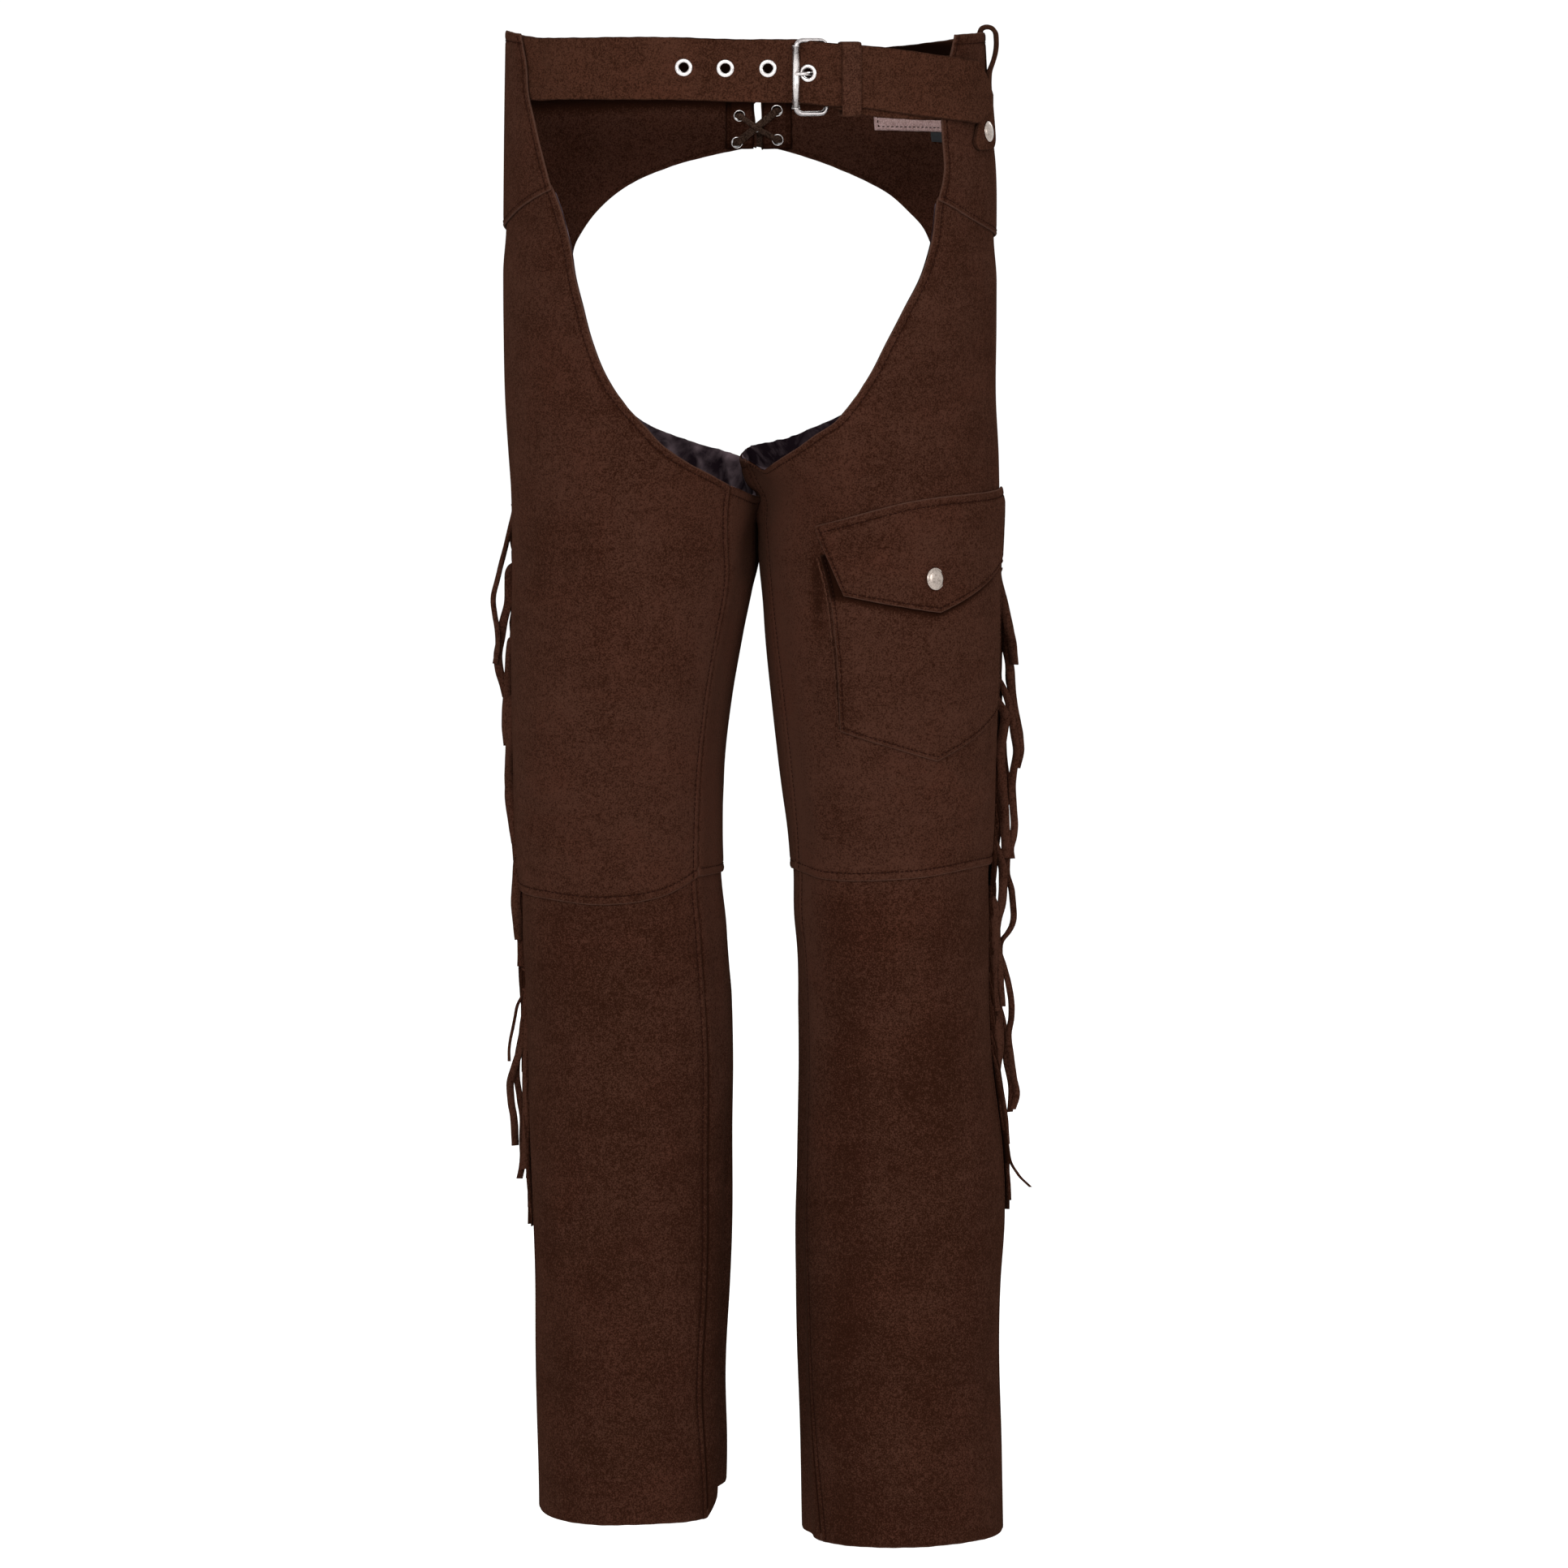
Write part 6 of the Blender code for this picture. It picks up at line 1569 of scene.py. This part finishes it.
STRANDS, STRAND_WIDTH, STRAND = 84, 4.2 * MM, 1.0 * MM
ROOT_SPAN = {RIGHT: (-332, -718), LEFT: (-368, -700)}
LOOSE_STRANDS = {
    # width, way behind the middle, then places (across, height) from the root to the tip
    RIGHT: (
        (2.8, 10, ((-162, -328), (-165, -341), (-170, -361), (-174, -377), (-177, -390), (-176, -402),
                   (-174, -414), (-174, -425), (-176, -435))),
        (4.5, 13, ((-165, -369), (-167, -395), (-170, -406), (-172, -419), (-174, -430), (-173, -441),
                   (-170, -451), (-168, -459))),
        (3.9, 9, ((-165, -420), (-167, -445), (-168, -460), (-169, -476), (-168, -492))),
        (5.0, 6, ((-164, -459), (-165, -481), (-166, -504), (-166, -526), (-164, -544), (-162, -560))),
        (3.9, 12, ((-163, -414), (-164, -437), (-166, -465), (-166, -490))),
        (4.5, 10, ((-161, -515), (-162, -538), (-162, -561), (-161, -572))),
        (5.0, 8, ((-158, -543), (-160, -566), (-161, -583), (-162, -601), (-161, -617), (-160, -627))),
        (5.0, 12, ((-156, -572), (-157, -595), (-158, -617), (-158, -646))),
        (1.7, 14, ((-154, -632), (-154, -656), (-157, -665), (-161, -673), (-163, -682), (-165, -691),
                   (-167, -702), (-167, -713))),
        (3.9, 9, ((-152, -640), (-154, -665), (-157, -686), (-159, -702), (-163, -715), (-166, -725),
                  (-166, -737), (-164, -752), (-163, -771))),
        (3.3, 13, ((-152, -649), (-155, -674), (-158, -692), (-161, -708), (-162, -723), (-160, -738),
                   (-158, -753), (-158, -766), (-158, -782), (-160, -795))),
        (4.5, 5, ((-151, -650), (-153, -673), (-154, -702), (-155, -730), (-155, -758), (-156, -787))),
        (3.9, 8, ((-149, -668), (-150, -696), (-152, -725), (-152, -747), (-152, -770), (-152, -793),
                  (-152, -814))),
        (4.5, 3, ((-148, -664), (-149, -690), (-149, -718), (-150, -735), (-149, -764))),
    ),
    LEFT: (
        (5.0, 9, ((170, -372), (174, -390), (178, -409), (181, -424), (182, -436))),
        (4.5, 12, ((169, -385), (176, -410), (178, -427), (180, -443), (181, -456), (183, -471),
                   (186, -485), (186, -499), (184, -508))),
        (3.3, 15, ((168, -397), (170, -412), (175, -422), (178, -434), (179, -449), (182, -461),
                   (181, -471), (175, -480), (175, -491), (176, -504), (178, -515), (180, -525),
                   (178, -534))),
        (3.9, 9, ((167, -438), (172, -447), (177, -457), (180, -469), (182, -481), (184, -496), (182, -510),
                  (181, -524), (182, -537), (183, -547), (182, -556), (180, -564), (181, -571))),
        (5.0, 6, ((166, -452), (171, -461), (176, -470), (175, -481), (173, -495), (174, -512), (175, -529),
                  (176, -543), (177, -560), (177, -570))),
        (3.3, 12, ((166, -481), (168, -493), (171, -510), (174, -526), (173, -540), (169, -555),
                   (170, -565), (174, -577), (175, -593), (173, -605))),
        (3.3, 15, ((166, -536), (171, -545), (176, -556), (178, -568), (178, -582), (181, -593),
                   (182, -604), (182, -616), (179, -623), (174, -629), (173, -640))),
        (4.5, 7, ((165, -549), (169, -560), (174, -573), (175, -589), (174, -602), (171, -615), (170, -628),
                  (172, -643), (173, -660), (174, -673))),
        (3.3, 11, ((164, -591), (168, -600), (171, -617), (172, -634), (176, -647), (179, -658),
                   (181, -669), (181, -683), (179, -694), (181, -709), (183, -724), (185, -736),
                   (182, -746))),
        (5.0, 4, ((163, -592), (167, -598), (169, -616), (168, -639), (168, -659), (170, -676))),
        (4.5, 8, ((163, -633), (168, -644), (171, -662), (172, -679), (173, -699), (171, -716),
                  (170, -728))),
        (3.3, 13, ((164, -660), (171, -671), (175, -683), (177, -697), (178, -714), (181, -729),
                   (181, -742), (180, -748))),
        (5.0, 5, ((163, -675), (169, -682), (172, -696), (170, -713), (172, -728), (174, -742), (176, -755),
                  (177, -769))),
        (1.7, 14, ((166, -708), (171, -726), (176, -744), (178, -760), (179, -772), (181, -784),
                   (186, -792), (195, -801))),
        (3.9, 9, ((164, -696), (168, -708), (171, -725), (174, -743), (176, -759), (177, -778))),
    ),
}


def beside(side, height, aside, out):
    """Points beside a leg's side seam, some degrees towards the back."""
    seam = np.array(sorted(SIDE_SEAM[side], key=lambda place: place[1]), float)
    return surface(side, smooth(height / MM, seam[:, 1], seam[:, 0]) + aside, height, out)


def fringe_tree():
    """Flat strands along the edges of a mesh, as wide and as turned as its points say."""
    tree, sockets, given = node_group("fringe", {
        "Width": "Float", "Thickness": "Float", "Waver": "Float", "Suede": "Material", "Seed": "Int",
    })

    def named(name, kind="FLOAT"):
        made = tree.nodes.new("GeometryNodeInputNamedAttribute")
        made.data_type = kind
        made.inputs["Name"].default_value = name
        return made.outputs[0]

    def vectors(kind, a, b):
        made = tree.nodes.new("ShaderNodeVectorMath")
        made.operation = kind
        put(tree, made.inputs[0], a)
        put(tree, made.inputs["Scale" if kind == "SCALE" else 1], b)
        return made.outputs[0]

    line = node(tree, "GeometryNodeMeshToCurve", Mesh=given["Geometry"])
    where = vectors("ADD", tree.nodes.new("GeometryNodeInputPosition").outputs[0],
                    node(tree, "ShaderNodeCombineXYZ", X=given["Seed"]).outputs[0])
    cloud = node(tree, "ShaderNodeTexNoise", Vector=where, Scale=60.0, Detail=1.0)
    waver = vectors("SCALE", vectors("SUBTRACT", cloud.outputs["Color"], (0.5, 0.5, 0.5)),
                    sums(tree, "MULTIPLY", given["Waver"], named("loose")))
    hung = node(tree, "GeometryNodeSetPosition", Geometry=line.outputs[0], Offset=waver)
    turned_way = tree.nodes.new("GeometryNodeSetCurveNormal")
    turned_way.mode = "FREE"
    tree.links.new(hung.outputs[0], turned_way.inputs["Curve"])
    tree.links.new(named("across", "FLOAT_VECTOR"), turned_way.inputs["Normal"])
    flat = tree.nodes.new("GeometryNodeCurvePrimitiveQuadrilateral")
    tree.links.new(given["Width"], flat.inputs["Width"])
    tree.links.new(given["Thickness"], flat.inputs["Height"])
    solid = node(tree, "GeometryNodeCurveToMesh", Curve=turned_way.outputs[0], Scale=named("wide"))
    tree.links.new(flat.outputs[0], solid.inputs["Profile Curve"])
    solid.inputs["Fill Caps"].default_value = True
    whole = node(tree, "GeometryNodeRealizeInstances", Geometry=solid.outputs[0])
    painted = node(tree, "GeometryNodeSetMaterial", Geometry=whole.outputs[0], Material=given["Suede"])
    tree.links.new(painted.outputs[0], tree.nodes.new("NodeGroupOutput").inputs[0])
    return tree, sockets


strand_tree, strand_sockets = fringe_tree()
rng = np.random.default_rng(11)
for side in (RIGHT, LEFT):
    strands = []  # points, directions of the width, share of the width, tone
    for width, behind, places in LOOSE_STRANDS[side]:
        path = np.array([(x, behind, z) for x, z in places]) * MM
        path = np.concatenate([[beside(side, path[0, 2] + 2 * MM, 0.4, 0)], path])
        gone = travel(path, 0)[0]
        fine = np.linspace(0, gone[-1], round(gone[-1] / (2.6 * MM)))
        line = np.stack([smooth(fine, gone, path[:, c]) for c in range(3)], -1)
        turn = 0.35 * np.sin(fine / (19 * MM) + 5 * behind) + 0.25 * np.sin(fine / (8 * MM) + behind)
        across = np.stack([np.cos(turn), np.sin(turn), 0 * turn], -1)
        wide = np.full(len(fine), 1.35 * width * MM / STRAND_WIDTH)
        # Painted shade: a loose strand is painted darker the further behind the seam it hangs.
        strands.append((line, across, wide, 0.5 - 0.035 * behind))
    top, bottom = np.array(ROOT_SPAN[side]) * MM
    for root in np.linspace(top, bottom, STRANDS) + rng.uniform(-1, 1, STRANDS) * MM:
        drop, aside, out, sway = rng.uniform((84, 3.5, 0.8, -1), (124, 11, 2.6, 1))
        share = np.linspace(0, 1, 20)
        height = root - drop * MM * share
        wave = 2.2 * sway * np.sin(5.5 * share + root / (30 * MM)) * share
        aside = 0.4 + aside * ramp(share, 0, 0.4) + wave
        out = out + 0.6 * np.sin(9 * share + sway * 4)
        line = beside(side, height, aside, (0.5 + out * ramp(share, 0, 0.2)) * MM)
        across = line - beside(side, height, aside + 1, 0.5 * MM)
        across /= np.linalg.norm(across, axis=1, keepdims=True)
        wide = 1 - 0.2 * share * rng.uniform()
        # Painted shade: the strands hanging close behind the seam are painted darker.
        strands.append((line, across, wide, rng.uniform(-0.9, -0.1)))
    count = [len(line) for line, *_ in strands]
    fringe = drawn(f"{NAMES[side]}_fringe_strands", [line for line, *_ in strands])
    layers = fringe.data.attributes
    for name, values in (
        ("loose", [i / n for n in count for i in range(n)]),
        ("wide", np.concatenate([wide for *_, wide, _ in strands])),
        ("tone", np.repeat([tone for *_, tone in strands], count)),
        ("edge", np.full(sum(count), 5.0)),
    ):
        layers.new(name, "FLOAT", "POINT").data.foreach_set("value", np.float32(values))
    across = np.float32(np.concatenate([across for _, across, *_ in strands]))
    layers.new("across", "FLOAT_VECTOR", "POINT").data.foreach_set("vector", across.ravel())
    values = {"Width": STRAND_WIDTH, "Thickness": STRAND, "Waver": 1.6 * MM, "Suede": suede, "Seed": 3 + side}
    grown(fringe, strand_tree, strand_sockets, values)
    dress(fringe, [f"{NAMES[side]}_fringe"], suede)
